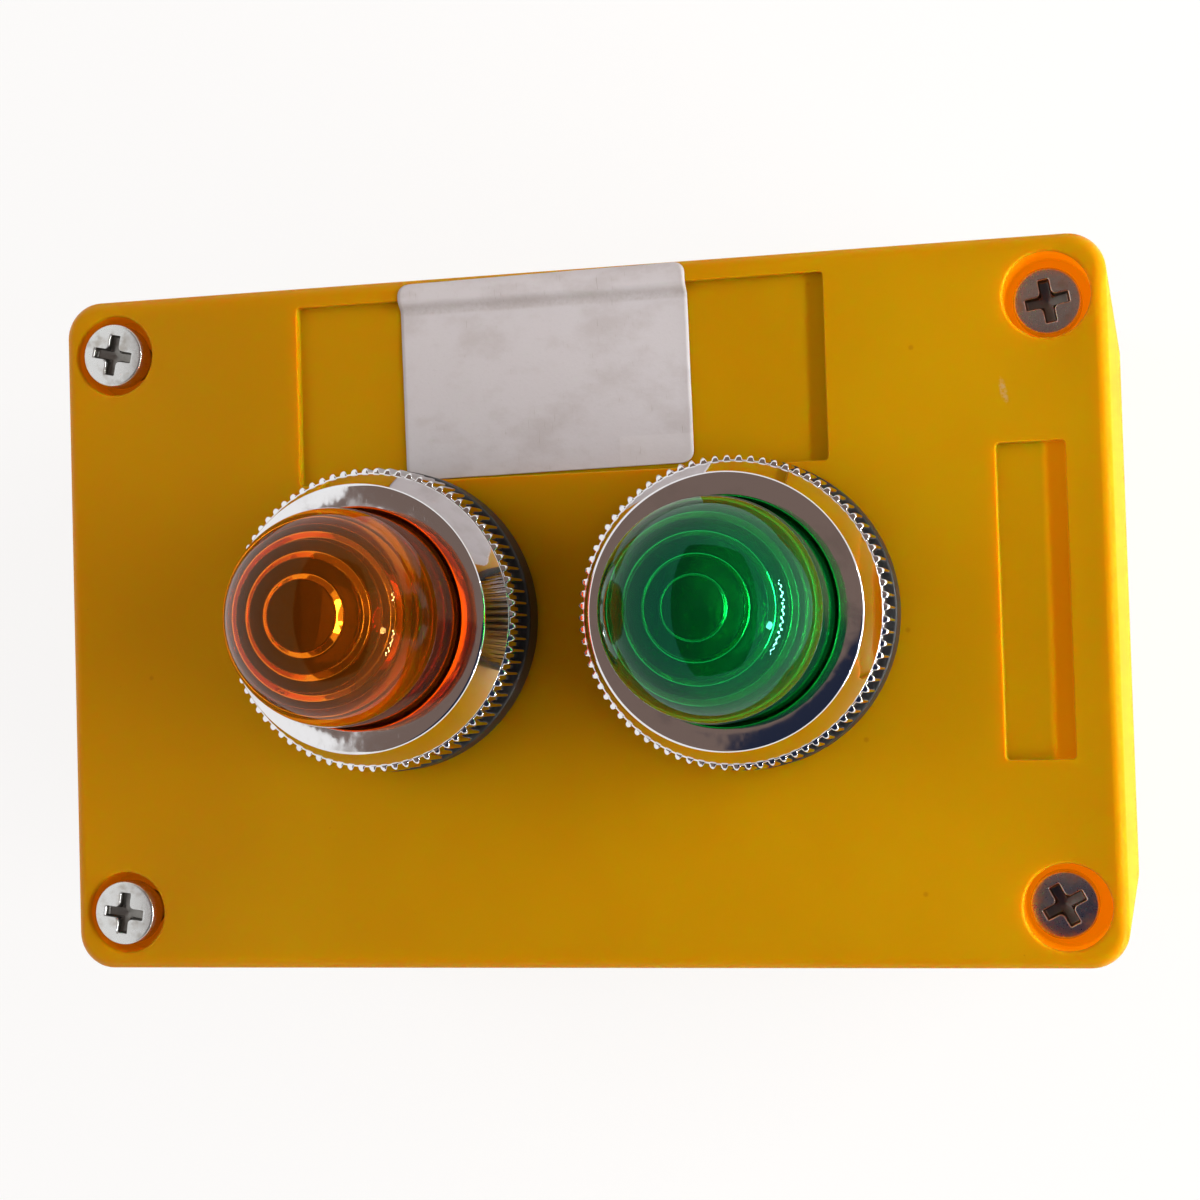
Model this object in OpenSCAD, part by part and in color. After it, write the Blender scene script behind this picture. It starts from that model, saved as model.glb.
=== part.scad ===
// Two-lamp control station: a moulded case in two shells with an amber and a green
// pilot lamp on its front. The case lies on its back at z = 0, its front faces +Z,
// its long side runs along X, and the wide legend recess is on the +Y side.

/* [Case] */
// Length of the case along X
case_l = 115.4; // [110:0.2:160]
// Width of the case along Y
case_w = 75; // [72:0.5:110]
// Depth of the closed case from its back to its front
case_d = 70; // [66:0.5:100]
// Depth of the front cover from its front to the joint line
cover_d = 36; // [30:0.5:44]
// Corner radius of the case seen from the front
corner_r = 4; // [3.6:0.1:6]
// Thickness of the side walls
wall = 3; // [2.6:0.1:3.4]
// Thickness of the front of the cover
face_t = 3; // [2.6:0.1:4]
// Thickness of the back of the base
back_t = 3; // [2:0.1:5]
// Rounding of the outer edges at the front and the back
edge_r = 1.2; // [0.4:0.1:1.2]
// Gap between cover and base at the joint line
joint_gap = 0.2; // [0.1:0.05:0.5]

/* [Joint lip] */
// Height of the lips that stand up from the base into the cover
lip_h = 2.5; // [1.5:0.1:5]
// Thickness of a lip
lip_t = 1.3; // [1:0.1:1.5]
// Clearance round a lip in its pocket
lip_play = 0.2; // [0.1:0.05:0.3]
// Distance from the case's corner to the end of a lip
lip_end = 15; // [13.5:0.5:22]

/* [Legend recess] */
// Length of the wide recess for a legend plate
legend_l = 58.5; // [40:0.5:70]
// Place of the wide recess's middle along X
legend_x = -0.5; // [-8:0.1:8]
// Height of the wide recess
legend_h = 19.8; // [16:0.2:21]
// Distance from the wide recess to the edge of the case
legend_edge = 2.3; // [1.5:0.1:3]
// Length of the narrow recess beside the lamps
plate_l = 32.5; // [20:0.5:44]
// Width of the narrow recess
plate_w = 7; // [5:0.1:8]
// Distance from the narrow recess to the end of the case
plate_edge = 4.7; // [3:0.1:7]
// Depth of both recesses
recess_d = 1; // [0.5:0.1:1.4]

/* [Cover screws] */
// Distance from a screw's axis to the end of the case
screw_in_x = 6.05; // [6.05:0.05:8]
// Distance from a screw's axis to the side of the case
screw_in_y = 6.25; // [6.05:0.05:8]
// Radius of a screw well at the front
well_r = 4.8; // [4.3:0.1:4.8]
// Radius of a screw well at its floor
well_floor_r = 4.5; // [4.1:0.1:4.8]
// Depth of a screw well
well_d = 5.4; // [4:0.1:8]
// Wall left round a well inside the cover
boss_wall = 1.4; // [1:0.1:2]
// Thickness of the seat under a screw head
seat_t = 3; // [2:0.1:5]
// Radius of the core below the seat
boss_core_r = 3.4; // [2.6:0.1:3.8]
// Radius of a screw's shank
screw_r = 2; // [1.5:0.1:2.2]
// Clearance round a shank in the cover
shank_play = 0.3; // [0.1:0.05:0.5]
// Length of a screw under its head
screw_l = 40; // [37:0.5:45]
// Height at which the two left screws, not driven home, stand above their seats
left_screw_rise = 2.2; // [0:0.1:3]
// Radius of a screw head
head_r = 3.5; // [3:0.1:3.9]
// Height of a screw head
head_h = 2.7; // [2:0.1:3.2]
// Span of the cross recess in a screw head
cross_span = 4.4; // [3:0.1:5]
// Width of an arm of the cross recess
cross_arm = 0.95; // [0.6:0.05:1.3]
// Depth of the cross recess
cross_d = 1.5; // [0.8:0.1:1.9]

/* [Base posts] */
// Radius of a post in the base
post_r = 5.1; // [4.6:0.05:5.2]
// Radius of a threaded insert
insert_r = 3; // [2.6:0.1:3.4]
// Length of a threaded insert
insert_l = 8; // [5:0.5:12]
// Running clearance of the screw in its insert
thread_play = 0.08; // [0.05:0.01:0.1]
// Depth of the hole below the joint line in a post
post_hole_d = 13; // [10:0.5:18]

/* [Wall fixing] */
// Distance between the two wall-fixing holes
fixing_pitch = 84; // [60:1:84]
// Radius of a wall-fixing hole
fixing_r = 2.65; // [2:0.05:3.5]
// Radius of the raised ring round a wall-fixing hole
fixing_ring_r = 5.5; // [4.5:0.1:7]
// Height of the raised ring
fixing_ring_h = 1.5; // [0.5:0.1:3]
// Distance between the two stiffening ribs on the back
rib_pitch = 40; // [20:1:56]
// Width of a stiffening rib
rib_w = 1.6; // [1:0.1:3]
// Height of a stiffening rib
rib_h = 1.5; // [0.5:0.1:3]

/* [Cable entry] */
// Radius of the entry hole in the end wall of the base
entry_r = 10; // [6:0.1:11]
// Height of the entry's axis above the back
entry_z = 18; // [15.5:0.5:19]
// Radius of the bore through the rubber grommet
grommet_bore_r = 4.5; // [2.5:0.1:5]
// Radius of the grommet's two flanges
grommet_flange_r = 12; // [11.5:0.1:13]
// Thickness of each flange of the grommet
grommet_flange_t = 1.5; // [1:0.1:2.5]
// Clearance of the grommet in the entry hole
grommet_play = 0.05; // [0.02:0.01:0.2]

/* [Lamp places] */
// Place of the amber lamp along X
amber_x = -19; // [-24:0.1:-17]
// Place of the amber lamp along Y
amber_y = 0.2; // [-0.4:0.1:0.4]
// Place of the green lamp along X
green_x = 19.7; // [18:0.1:24]
// Place of the green lamp along Y
green_y = -0.4; // [-0.4:0.1:0.4]

/* [Lamp body] */
// Radius of the threaded barrel behind the flange
barrel_r = 12.4; // [11:0.1:13]
// Clearance of the barrel in the panel hole
panel_play = 0.5; // [0.45:0.05:0.8]
// Radius of the hollow inside the lamp body
bore_r = 10.2; // [8:0.1:10.6]
// Length of the barrel behind the front of the cover
barrel_l = 40; // [34:0.5:42]
// Radius of the black flange on the front
flange_r = 16.2; // [15.5:0.1:17.5]
// Thickness of the black flange
flange_t = 3.4; // [2:0.1:5]
// Rounding of the flange's front edge
flange_edge_r = 0.4; // [0.2:0.1:1]
// Distance from the flange's rim to the rim of its gasket
gasket_inset = 0.5; // [0.2:0.1:1]
// Thickness of the rubber gasket under the flange
panel_gasket_t = 0.8; // [0.4:0.1:1.5]
// Radius of the threaded collar that carries the bezel
collar_r = 14.5; // [13.9:0.1:14.7]
// Height of the collar above the flange
collar_h = 4; // [3:0.1:6]
// Thickness of the steel washer behind the panel
washer_t = 0.8; // [0.5:0.1:1.5]
// Distance from the ring nut's rim to the washer's rim
washer_inset = 0.3; // [0:0.1:1]
// Outer radius of the ring nut
nut_r = 15.4; // [14.6:0.1:16.5]
// Thickness of the ring nut
nut_t = 5; // [3:0.1:7]
// Number of grip notches round the ring nut
nut_notches = 12; // [6:1:16]
// Radius of a grip notch
notch_r = 1.4; // [0.8:0.1:1.8]
// Distance from the ring nut's rim out to the middle of a notch
notch_out = 0.5; // [0.2:0.1:0.7]

/* [Lens] */
// Radius of the lens and of its dome
lens_r = 11.1; // [10.6:0.1:11.2]
// Height of the straight part of the lens above its flange
lens_straight = 9.2; // [7:0.1:14]
// Radius of the lens flange
lens_flange_r = 13.7; // [12.6:0.1:13.9]
// Thickness of the lens flange
lens_flange_t = 1.5; // [1:0.1:2]
// Thickness of the rubber seal under the lens flange
seal_t = 0.7; // [0.4:0.1:1.2]
// Radius of the sphere that the edges of the inner steps touch
step_sphere_r = 9.3; // [9.1:0.05:9.6]
// Radius of the first step under the dome
step_1_r = 2.9; // [2.2:0.1:3.6]
// Radius of the second step
step_2_r = 4.6; // [4:0.1:5.4]
// Radius of the third step
step_3_r = 6.4; // [5.8:0.1:6.9]
// Radius of the fourth step
step_4_r = 7.9; // [7.3:0.1:8.3]
// Radius of the fifth step
step_5_r = 8.85; // [8.6:0.05:9]
// Radius of the bore at the foot of the lens
lens_foot_r = 9.9; // [9.7:0.05:10.1]
// Number of bands in the bore below the dome
band_count = 3; // [1:1:5]

/* [Bezel] */
// Radius over the tips of the knurled teeth
teeth_r = 16.1; // [15.9:0.1:17]
// Depth of a knurled tooth
tooth_d = 0.6; // [0.3:0.05:0.8]
// Angle from the middle of a tooth to the end of its foot, in degrees
tooth_half_angle = 0.99; // [0.6:0.01:1.7]
// Number of knurled teeth
tooth_count = 80; // [40:2:100]
// Height of the knurled skirt
skirt_h = 5; // [4:0.1:6]
// Height of the chamfer that ends the teeth
tooth_end_h = 0.7; // [0.3:0.1:1.2]
// Amount by which the chamfer passes the tips and the roots of the teeth
tooth_end_past = 0.1; // [0.05:0.05:0.2]
// Radius at the foot of the polished cone
cone_foot_r = 15.3; // [15.1:0.1:15.4]
// Radius of the flat top
top_ring_r = 14.05; // [13.2:0.05:14.6]
// Rounding of the flat top's outer edge
top_edge_r = 0.35; // [0.2:0.05:0.6]
// Height from the skirt's foot to the flat top
top_ring_h = 9.3; // [8.4:0.1:10.5]
// Radius of the opening round the lens
opening_r = 11.45; // [11.3:0.05:12]
// Rounding of the opening's upper edge
opening_edge_r = 0.25; // [0.15:0.05:0.5]
// Running clearance between parts that turn or lift on each other
run_gap = 0.08; // [0.05:0.01:0.1]
// Clearance between faces that lift off each other
lift_gap = 0.05; // [0.03:0.01:0.2]

/* [Bulb] */
// Radius of the bulb's glass
glass_r = 5; // [3.5:0.1:6]
// Length of the bulb's glass
glass_l = 16; // [10:0.5:20]
// Radius of the bulb's metal cap
cap_r = 4.6; // [3.5:0.1:5]
// Length of the bulb's metal cap
cap_l = 10; // [7:0.5:13]
// Radius of the contact pip under the cap
pip_r = 1.5; // [1:0.1:2.5]
// Height of the contact pip
pip_h = 1; // [0.5:0.1:2]
// Distance from the front of the cover down to the joint of cap and glass
cap_top_d = 0; // [0:0.5:6]
// Thickness of the brass socket shell
socket_t = 0.5; // [0.3:0.1:0.8]
// Clearance of the cap in its socket
cap_play = 0.15; // [0.05:0.05:0.3]
// Height of the socket shell
socket_h = 9; // [6:0.5:11]

/* [Terminals] */
// Thickness of the terminal block that closes the barrel
block_t = 6; // [5:0.5:8]
// Depth of the block's spigot inside the barrel
spigot_h = 4; // [2:0.5:6]
// Clearance of the spigot in the barrel
spigot_play = 0.1; // [0.05:0.05:0.3]
// Radius of the pillar that carries the socket
pillar_r = 7; // [6:0.1:8]
// Distance of a terminal screw from the lamp's axis
terminal_out = 6.6; // [5.8:0.1:7.4]
// Radius of a terminal screw's shank
terminal_screw_r = 1.6; // [1.2:0.1:2]
// Depth of a terminal screw's hole in the block
terminal_screw_l = 5; // [3:0.5:7]
// Clearance round a terminal screw's shank in the block
terminal_play = 0.05; // [0.02:0.01:0.15]
// Depth of a terminal screw's hole beyond the end of its shank
terminal_spare = 0.5; // [0.2:0.1:0.8]
// Radius of a terminal screw's head
terminal_head_r = 3; // [2.4:0.1:3.4]
// Height of a terminal screw's head
terminal_head_h = 2; // [1.2:0.1:2.5]
// Width of the slot in a terminal screw's head
terminal_slot_w = 0.8; // [0.5:0.1:1.2]
// Depth of that slot
terminal_slot_d = 1; // [0.4:0.1:1.1]
// Width of a terminal plate across the barrier
terminal_plate_w = 6.2; // [6:0.1:8]
// Length of a terminal plate along the barrier
terminal_plate_l = 7; // [6:0.1:9]
// Thickness of a terminal plate
terminal_plate_t = 0.8; // [0.5:0.1:1.2]
// Clearance round a terminal screw's shank in its plate
terminal_plate_play = 0.2; // [0.1:0.05:0.4]
// Thickness of the barrier between the terminals
barrier_t = 1.6; // [1:0.1:3]
// Distance from the block's rim to each end of the barrier
barrier_inset = 1; // [0.5:0.1:4]

/* [Sticker] */
// Length of the paper sticker over the wide recess
sticker_l = 32; // [20:0.5:40]
// Distance from the sticker's lower edge to the lower edge of the recess
sticker_foot = 0.35; // [0.35:0.05:4]
// Place of the sticker's middle along X
sticker_x = -1.8; // [-6:0.1:6]
// Distance from the sticker to the edge of the case
sticker_edge = 0.9; // [0.85:0.05:1.6]
// Turn of the sticker on the front, in degrees
sticker_turn = 0.8; // [0:0.1:1.2]
// Length over which the sticker climbs out of the recess
sticker_climb = 1.3; // [0.8:0.1:3]
// Thickness of the sticker
sticker_t = 0.15; // [0.1:0.01:0.3]
// Corner radius of the sticker
sticker_r = 1.3; // [0.5:0.1:3]

/* [Hidden] */
$fn = 64;
over = 1;
joint_z = case_d - cover_d;
joint_low = joint_z - joint_gap / 2;
joint_high = joint_z + joint_gap / 2;
inner_r = corner_r - wall;
flat_l = case_l - 2 * corner_r;
flat_w = case_w - 2 * corner_r;
screw_x = case_l / 2 - screw_in_x;
screw_y = case_w / 2 - screw_in_y;
boss_r = well_r + boss_wall;
boss_skin = 0.3;
seat_z = case_d - well_d;
well_slope = (well_r - well_floor_r) / well_d;
insert_gap = 0.05;

// Heights on a lamp, counted from the front of the cover
flange_top = panel_gasket_t + flange_t;
collar_top = flange_top + collar_h;
lens_z = collar_top + seal_t + lift_gap;
lens_flange_top = lens_z + lens_flange_t;
dome_z = lens_flange_top + lens_straight;
bezel_z = flange_top + lift_gap;
skirt_top = bezel_z + skirt_h;
bezel_top = bezel_z + top_ring_h;
bezel_roof = lens_flange_top + lift_gap;
root_r = teeth_r - tooth_d;
block_z = -barrel_l - block_t;
barrier_z = block_z - terminal_plate_t - terminal_head_h;
cap_z = -cap_top_d - cap_l;
socket_z = cap_z - socket_t;
lens_steps = [step_1_r, step_2_r, step_3_r, step_4_r, step_5_r];

// Height of a flat ceiling in the lens, whose edge touches the inner sphere
function ceiling_z(r) = dome_z + sqrt(pow(step_sphere_r, 2) - pow(r, 2));

// Sweeps a profile round a rectangle with round corners. In the profile, x counts
// outwards from the centres of the corners and y is the height.
module swept_round(length, width, radius)
{
    for (k = [0 : 3])
    {
        reach = (k % 2 == 0 ? length : width) / 2 - radius;
        span = (k % 2 == 0 ? width : length) - 2 * radius;
        rotate([0, 0, 90 * k])
        {
            translate([reach, 0, 0])
                rotate([90, 0, 0])
                    linear_extrude(height = span, center = true)
                        children();
            translate([reach, span / 2, 0])
                rotate_extrude(angle = 90)
                    children();
        }
    }
}

// Rectangle with round corners, seen from the front
module round_plate(length, width, radius, height)
{
    translate([-length / 2 + radius, -width / 2, 0])
        cube([length - 2 * radius, width, height]);
    translate([-length / 2, -width / 2 + radius, 0])
        cube([length, width - 2 * radius, height]);
    for (sx = [-1, 1], sy = [-1, 1])
        translate([sx * (length / 2 - radius), sy * (width / 2 - radius), 0])
            cylinder(r = radius, h = height);
}

// Puts a copy at each of the four cover screws
module at_screws()
{
    for (sx = [-1, 1], sy = [-1, 1])
        translate([sx * screw_x, sy * screw_y, 0])
            children();
}

// Straight lips along the inner half of each wall, or their pockets with some play
module lips(play, low, high)
{
    for (k = [0 : 3])
    {
        reach = (k % 2 == 0 ? case_l : case_w) / 2;
        span = (k % 2 == 0 ? case_w : case_l) - 2 * lip_end + 2 * play;
        rotate([0, 0, 90 * k])
            translate([reach - wall - play, -span / 2, low])
                cube([lip_t + 2 * play, span, high - low]);
    }
}

module at_lamp(x, y)
{
    translate([x, y, case_d])
        children();
}

// Outer quarter of a wall's profile between two heights, rounded at one of them
module wall_profile(low, high, round_top)
{
    round_y = round_top ? high - edge_r : low + edge_r;
    translate([0, round_top ? low : low + edge_r])
        square([corner_r, high - low - edge_r]);
    translate([0, low])
        square([corner_r - edge_r, high - low]);
    translate([corner_r - edge_r, round_y])
        circle(edge_r);
}

module base_shell()
{
    swept_round(case_l, case_w, corner_r)
        difference()
        {
            wall_profile(0, joint_low, false);
            translate([-over, back_t])
                square([inner_r + over, joint_z]);
        }
    translate([-flat_l / 2, -flat_w / 2, 0])
        cube([flat_l, flat_w, back_t]);
}

module base()
{
    color("goldenrod")
    difference()
    {
        union()
        {
            base_shell();
            at_screws()
                translate([0, 0, back_t / 2])
                    cylinder(r = post_r, h = joint_low - back_t / 2);
            lips(0, joint_low - over, joint_z + lip_h);
            for (s = [-1, 1])
            {
                translate([s * fixing_pitch / 2, 0, back_t / 2])
                    cylinder(r = fixing_ring_r, h = back_t / 2 + fixing_ring_h);
                translate([s * rib_pitch / 2 - rib_w / 2, -case_w / 2 + wall / 2, back_t / 2])
                    cube([rib_w, case_w - wall, back_t / 2 + rib_h]);
            }
        }
        at_screws()
        {
            translate([0, 0, joint_z - post_hole_d])
                cylinder(r = screw_r + shank_play, h = post_hole_d + over);
            translate([0, 0, joint_low - insert_l])
                cylinder(r = insert_r + insert_gap, h = insert_l + over);
        }
        for (s = [-1, 1])
            translate([s * fixing_pitch / 2, 0, -over])
                cylinder(r = fixing_r, h = back_t + fixing_ring_h + 2 * over);
        translate([-case_l / 2 - over, 0, entry_z])
            rotate([0, 90, 0])
                cylinder(r = entry_r, h = wall + 2 * over);
    }
}

module threaded_inserts()
{
    color("darkgoldenrod")
    at_screws()
        translate([0, 0, joint_low - insert_l])
            difference()
            {
                cylinder(r = insert_r, h = insert_l - insert_gap);
                translate([0, 0, -over])
                    cylinder(r = screw_r + thread_play, h = insert_l + 2 * over);
            }
}

module cable_grommet()
{
    neck_r = entry_r - grommet_play;
    color("dimgray")
    translate([-case_l / 2 + wall, 0, entry_z])
        rotate([0, -90, 0])
            rotate_extrude()
                difference()
                {
                    union()
                    {
                        translate([0, -grommet_flange_t])
                            square([grommet_flange_r, grommet_flange_t - grommet_play]);
                        translate([0, -grommet_flange_t])
                            square([neck_r, wall + 2 * grommet_flange_t]);
                        translate([0, wall + grommet_play])
                            square([grommet_flange_r, grommet_flange_t - grommet_play]);
                    }
                    translate([-over, -grommet_flange_t - over])
                        square([grommet_bore_r + over, wall + 2 * grommet_flange_t + 2 * over]);
                }
}

module cover_shell()
{
    swept_round(case_l, case_w, corner_r)
        difference()
        {
            wall_profile(joint_high, case_d, true);
            translate([-over, joint_z - over])
                square([inner_r + over, cover_d - face_t + over]);
        }
    translate([-flat_l / 2, -flat_w / 2, case_d - face_t])
        cube([flat_l, flat_w, face_t]);
}

module cover()
{
    color("gold")
    difference()
    {
        union()
        {
            cover_shell();
            intersection()
            {
                translate([0, 0, joint_high])
                    round_plate(case_l - 2 * boss_skin, case_w - 2 * boss_skin,
                        corner_r - boss_skin, cover_d - joint_gap / 2 - face_t / 2);
                at_screws()
                    translate([0, 0, joint_high])
                        cylinder(r = boss_r, h = cover_d);
            }
        }
        at_screws()
        {
            translate([0, 0, seat_z])
                cylinder(r1 = well_floor_r, r2 = well_r + over * well_slope, h = well_d + over);
            translate([0, 0, seat_z - seat_t - over])
                cylinder(r = screw_r + shank_play, h = seat_t + 2 * over);
            translate([0, 0, joint_z - over])
                cylinder(r = boss_core_r, h = seat_z - seat_t - joint_z + over);
        }
        lips(lip_play, joint_z - over, joint_z + lip_h + lip_play);
        for (x = [amber_x, green_x])
            translate([x, 0, case_d - face_t - over])
                cylinder(r = barrel_r + panel_play, h = face_t + 2 * over);
        translate([legend_x - legend_l / 2, case_w / 2 - legend_edge - legend_h, case_d - recess_d])
            cube([legend_l, legend_h, recess_d + over]);
        translate([case_l / 2 - plate_edge - plate_w, -plate_l / 2, case_d - recess_d])
            cube([plate_w, plate_l, recess_d + over]);
    }
}

// One pan-head screw with a cross recess, its seat at z = 0
module cover_screw()
{
    crown_r = (pow(head_r, 2) + pow(head_h / 2, 2)) / head_h;
    difference()
    {
        union()
        {
            rotate_extrude()
                intersection()
                {
                    square([head_r, head_h]);
                    translate([0, head_h - crown_r])
                        circle(crown_r);
                }
            translate([0, 0, -screw_l])
                cylinder(r = screw_r, h = screw_l + over);
        }
        for (turn = [0, 90])
            rotate([0, 0, turn])
                translate([-cross_span / 2, -cross_arm / 2, head_h - cross_d])
                    cube([cross_span, cross_arm, cross_d + over]);
    }
}

module cover_screws()
{
    color("lightgray")
    for (sx = [-1, 1], sy = [-1, 1])
        translate([sx * screw_x, sy * screw_y, seat_z + (sx < 0 ? left_screw_rise : 0)])
            cover_screw();
}

// A sheet that lies in the wide recess and climbs over its edge onto the front
module sticker()
{
    top_y = case_w / 2 - sticker_edge;
    rim_y = case_w / 2 - legend_edge;
    low_y = rim_y - legend_h + sticker_foot;
    bend_y = rim_y - sticker_climb;
    floor_z = case_d - recess_d;
    color("whitesmoke")
    intersection()
    {
        translate([-case_l / 2, 0, 0])
            rotate([90, 0, 90])
                linear_extrude(height = case_l)
                    polygon([
                        [low_y - over, floor_z],
                        [bend_y, floor_z],
                        [rim_y, case_d],
                        [top_y + over, case_d],
                        [top_y + over, case_d + sticker_t],
                        [rim_y - sticker_t, case_d + sticker_t],
                        [bend_y - sticker_t, floor_z + sticker_t],
                        [low_y - over, floor_z + sticker_t]
                    ]);
        translate([sticker_x, (top_y + low_y) / 2, floor_z - over])
            rotate([0, 0, sticker_turn])
                round_plate(sticker_l, top_y - low_y, sticker_r, recess_d + 2 * over);
    }
}

module lamp_body()
{
    rotate_extrude()
        difference()
        {
            union()
            {
                translate([0, panel_gasket_t])
                    square([flange_r, flange_t - flange_edge_r]);
                translate([0, panel_gasket_t])
                    square([flange_r - flange_edge_r, flange_t]);
                translate([flange_r - flange_edge_r, flange_top - flange_edge_r])
                    circle(flange_edge_r);
                translate([0, flange_top - over])
                    square([collar_r, collar_h + over]);
                translate([0, -barrel_l])
                    square([barrel_r, barrel_l + flange_top]);
            }
            translate([-over, -barrel_l - over])
                square([bore_r + over, barrel_l + collar_top + 2 * over]);
        }
}

module flat_ring(inner, outer, low, high)
{
    translate([0, 0, low])
        difference()
        {
            cylinder(r = outer, h = high - low);
            translate([0, 0, -over])
                cylinder(r = inner, h = high - low + 2 * over);
        }
}

module panel_gasket()
{
    flat_ring(barrel_r + run_gap, flange_r - gasket_inset, 0, panel_gasket_t);
}

module lock_washer()
{
    flat_ring(barrel_r + run_gap, nut_r - washer_inset, -face_t - washer_t, -face_t);
}

module ring_nut()
{
    top = -face_t - washer_t;
    difference()
    {
        flat_ring(barrel_r + run_gap, nut_r, top - nut_t, top);
        for (k = [0 : nut_notches - 1])
            rotate([0, 0, 360 / nut_notches * k])
                translate([nut_r + notch_out, 0, top - nut_t - over])
                    cylinder(r = notch_r, h = nut_t + 2 * over);
    }
}

module lens_seal()
{
    flat_ring(bore_r, lens_flange_r, collar_top, collar_top + seal_t);
}

// Clear dome on a straight foot, with a stepped hollow inside: flat ceilings and
// upright risers whose edges lie on one sphere, and bands in the bore below it
module lens()
{
    rotate_extrude()
        difference()
        {
            union()
            {
                intersection()
                {
                    translate([0, dome_z])
                        circle(lens_r);
                    translate([0, dome_z])
                        square(lens_r + over);
                }
                translate([0, lens_z])
                    square([lens_r, dome_z - lens_z]);
                translate([0, lens_z])
                    square([lens_flange_r, lens_flange_t]);
            }
            for (r = lens_steps)
                translate([-over, lens_z - over])
                    square([r + over, ceiling_z(r) - lens_z + over]);
            for (k = [0 : band_count - 1])
            {
                part = k / band_count;
                band_r = step_sphere_r + (lens_foot_r - step_sphere_r) * (k + 1) / band_count;
                translate([-over, lens_z - over])
                    square([band_r + over, (dome_z - lens_z) * (1 - part) + over]);
            }
        }
}

// Outline of the knurl: sharp teeth whose roots are a little wider than their tips
module knurl_outline()
{
    step = 360 / tooth_count;
    polygon([
        for (k = [0 : tooth_count - 1], side = [-1 : 1])
            let (turn = step * k + tooth_half_angle * side)
            let (r = side == 0 ? teeth_r : root_r)
            [r * cos(turn), r * sin(turn)]
    ]);
}

// Section of the bezel above its skirt: a cone that runs into the rounded edge of a
// flat top, and an opening with a rounded upper edge
module bezel_section()
{
    foot = [cone_foot_r, skirt_top];
    edge = [top_ring_r - top_edge_r, bezel_top - top_edge_r];
    way = edge - foot;
    lean = atan2(way.y, way.x) - asin(top_edge_r / norm(way));
    reach = sqrt(pow(norm(way), 2) - pow(top_edge_r, 2));
    inner = [opening_r + opening_edge_r, bezel_top - opening_edge_r];
    polygon([[inner.x, foot.y], foot, foot + reach * [cos(lean), sin(lean)], edge, [inner.x, edge.y]]);
    translate([inner.x, foot.y])
        square([edge.x - inner.x, bezel_top - foot.y]);
    translate([opening_r, foot.y])
        square([opening_edge_r, inner.y - foot.y]);
    translate(edge)
        circle(top_edge_r);
    translate(inner)
        circle(opening_edge_r);
}

// Chromed ring: a knurled skirt, a polished cone and a flat top round the lens
module bezel()
{
    difference()
    {
        union()
        {
            translate([0, 0, bezel_z])
                intersection()
                {
                    linear_extrude(height = skirt_h)
                        knurl_outline();
                    union()
                    {
                        cylinder(r = teeth_r + over, h = skirt_h - tooth_end_h);
                        translate([0, 0, skirt_h - tooth_end_h])
                            cylinder(r1 = teeth_r + tooth_end_past,
                                r2 = root_r - tooth_end_past, h = tooth_end_h);
                    }
                }
            translate([0, 0, skirt_top - over])
                cylinder(r = cone_foot_r, h = over);
            rotate_extrude()
                bezel_section();
        }
        translate([0, 0, -over])
            cylinder(r = collar_r + run_gap, h = bezel_roof + over);
    }
}

module bulb_glass()
{
    translate([0, 0, -cap_top_d])
        rotate_extrude()
        {
            square([glass_r, glass_l - glass_r]);
            intersection()
            {
                translate([0, glass_l - glass_r])
                    circle(glass_r);
                translate([0, glass_l - glass_r])
                    square(glass_r + over);
            }
        }
}

module bulb_cap()
{
    translate([0, 0, cap_z])
    {
        translate([0, 0, pip_h])
            cylinder(r = cap_r, h = cap_l - pip_h);
        cylinder(r = pip_r, h = pip_h + over);
    }
}

module socket()
{
    inner = cap_r + cap_play;
    translate([0, 0, socket_z])
        difference()
        {
            cylinder(r = inner + socket_t, h = socket_h);
            translate([0, 0, socket_t])
                cylinder(r = inner, h = socket_h);
        }
}

// Moulded block that closes the barrel, with a pillar for the socket and a barrier
// between the two terminals on its back
module terminal_block()
{
    difference()
    {
        union()
        {
            translate([0, 0, block_z])
                cylinder(r = barrel_r, h = block_t);
            translate([0, 0, block_z])
                cylinder(r = bore_r - spigot_play, h = block_t + spigot_h);
            translate([0, 0, block_z])
                cylinder(r = pillar_r, h = socket_z - block_z);
            translate([-barrier_t / 2, barrier_inset - barrel_r, barrier_z])
                cube([barrier_t, 2 * (barrel_r - barrier_inset), block_z - barrier_z + over]);
        }
        for (s = [-1, 1])
            translate([s * terminal_out, 0, block_z - over])
                cylinder(r = terminal_screw_r + terminal_play, h = terminal_screw_l + over);
    }
}

module terminal_plates()
{
    for (s = [-1, 1])
        translate([s * terminal_out, 0, block_z - terminal_plate_t])
            difference()
            {
                translate([-terminal_plate_w / 2, -terminal_plate_l / 2, 0])
                    cube([terminal_plate_w, terminal_plate_l, terminal_plate_t]);
                translate([0, 0, -over])
                    cylinder(r = terminal_screw_r + terminal_plate_play,
                        h = terminal_plate_t + 2 * over);
            }
}

module terminal_screws()
{
    shank_l = terminal_plate_t + terminal_screw_l - terminal_spare;
    for (s = [-1, 1])
        translate([s * terminal_out, 0, block_z - terminal_plate_t])
            difference()
            {
                union()
                {
                    translate([0, 0, -terminal_head_h])
                        cylinder(r = terminal_head_r, h = terminal_head_h);
                    translate([0, 0, -over])
                        cylinder(r = terminal_screw_r, h = shank_l + over);
                }
                translate([-terminal_head_r - over, -terminal_slot_w / 2, -terminal_head_h - over])
                    cube([2 * (terminal_head_r + over), terminal_slot_w, over + terminal_slot_d]);
            }
}

module amber_body()
{
    color("black") at_lamp(amber_x, amber_y) lamp_body();
}

module amber_panel_gasket()
{
    color("dimgray") at_lamp(amber_x, amber_y) panel_gasket();
}

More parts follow.
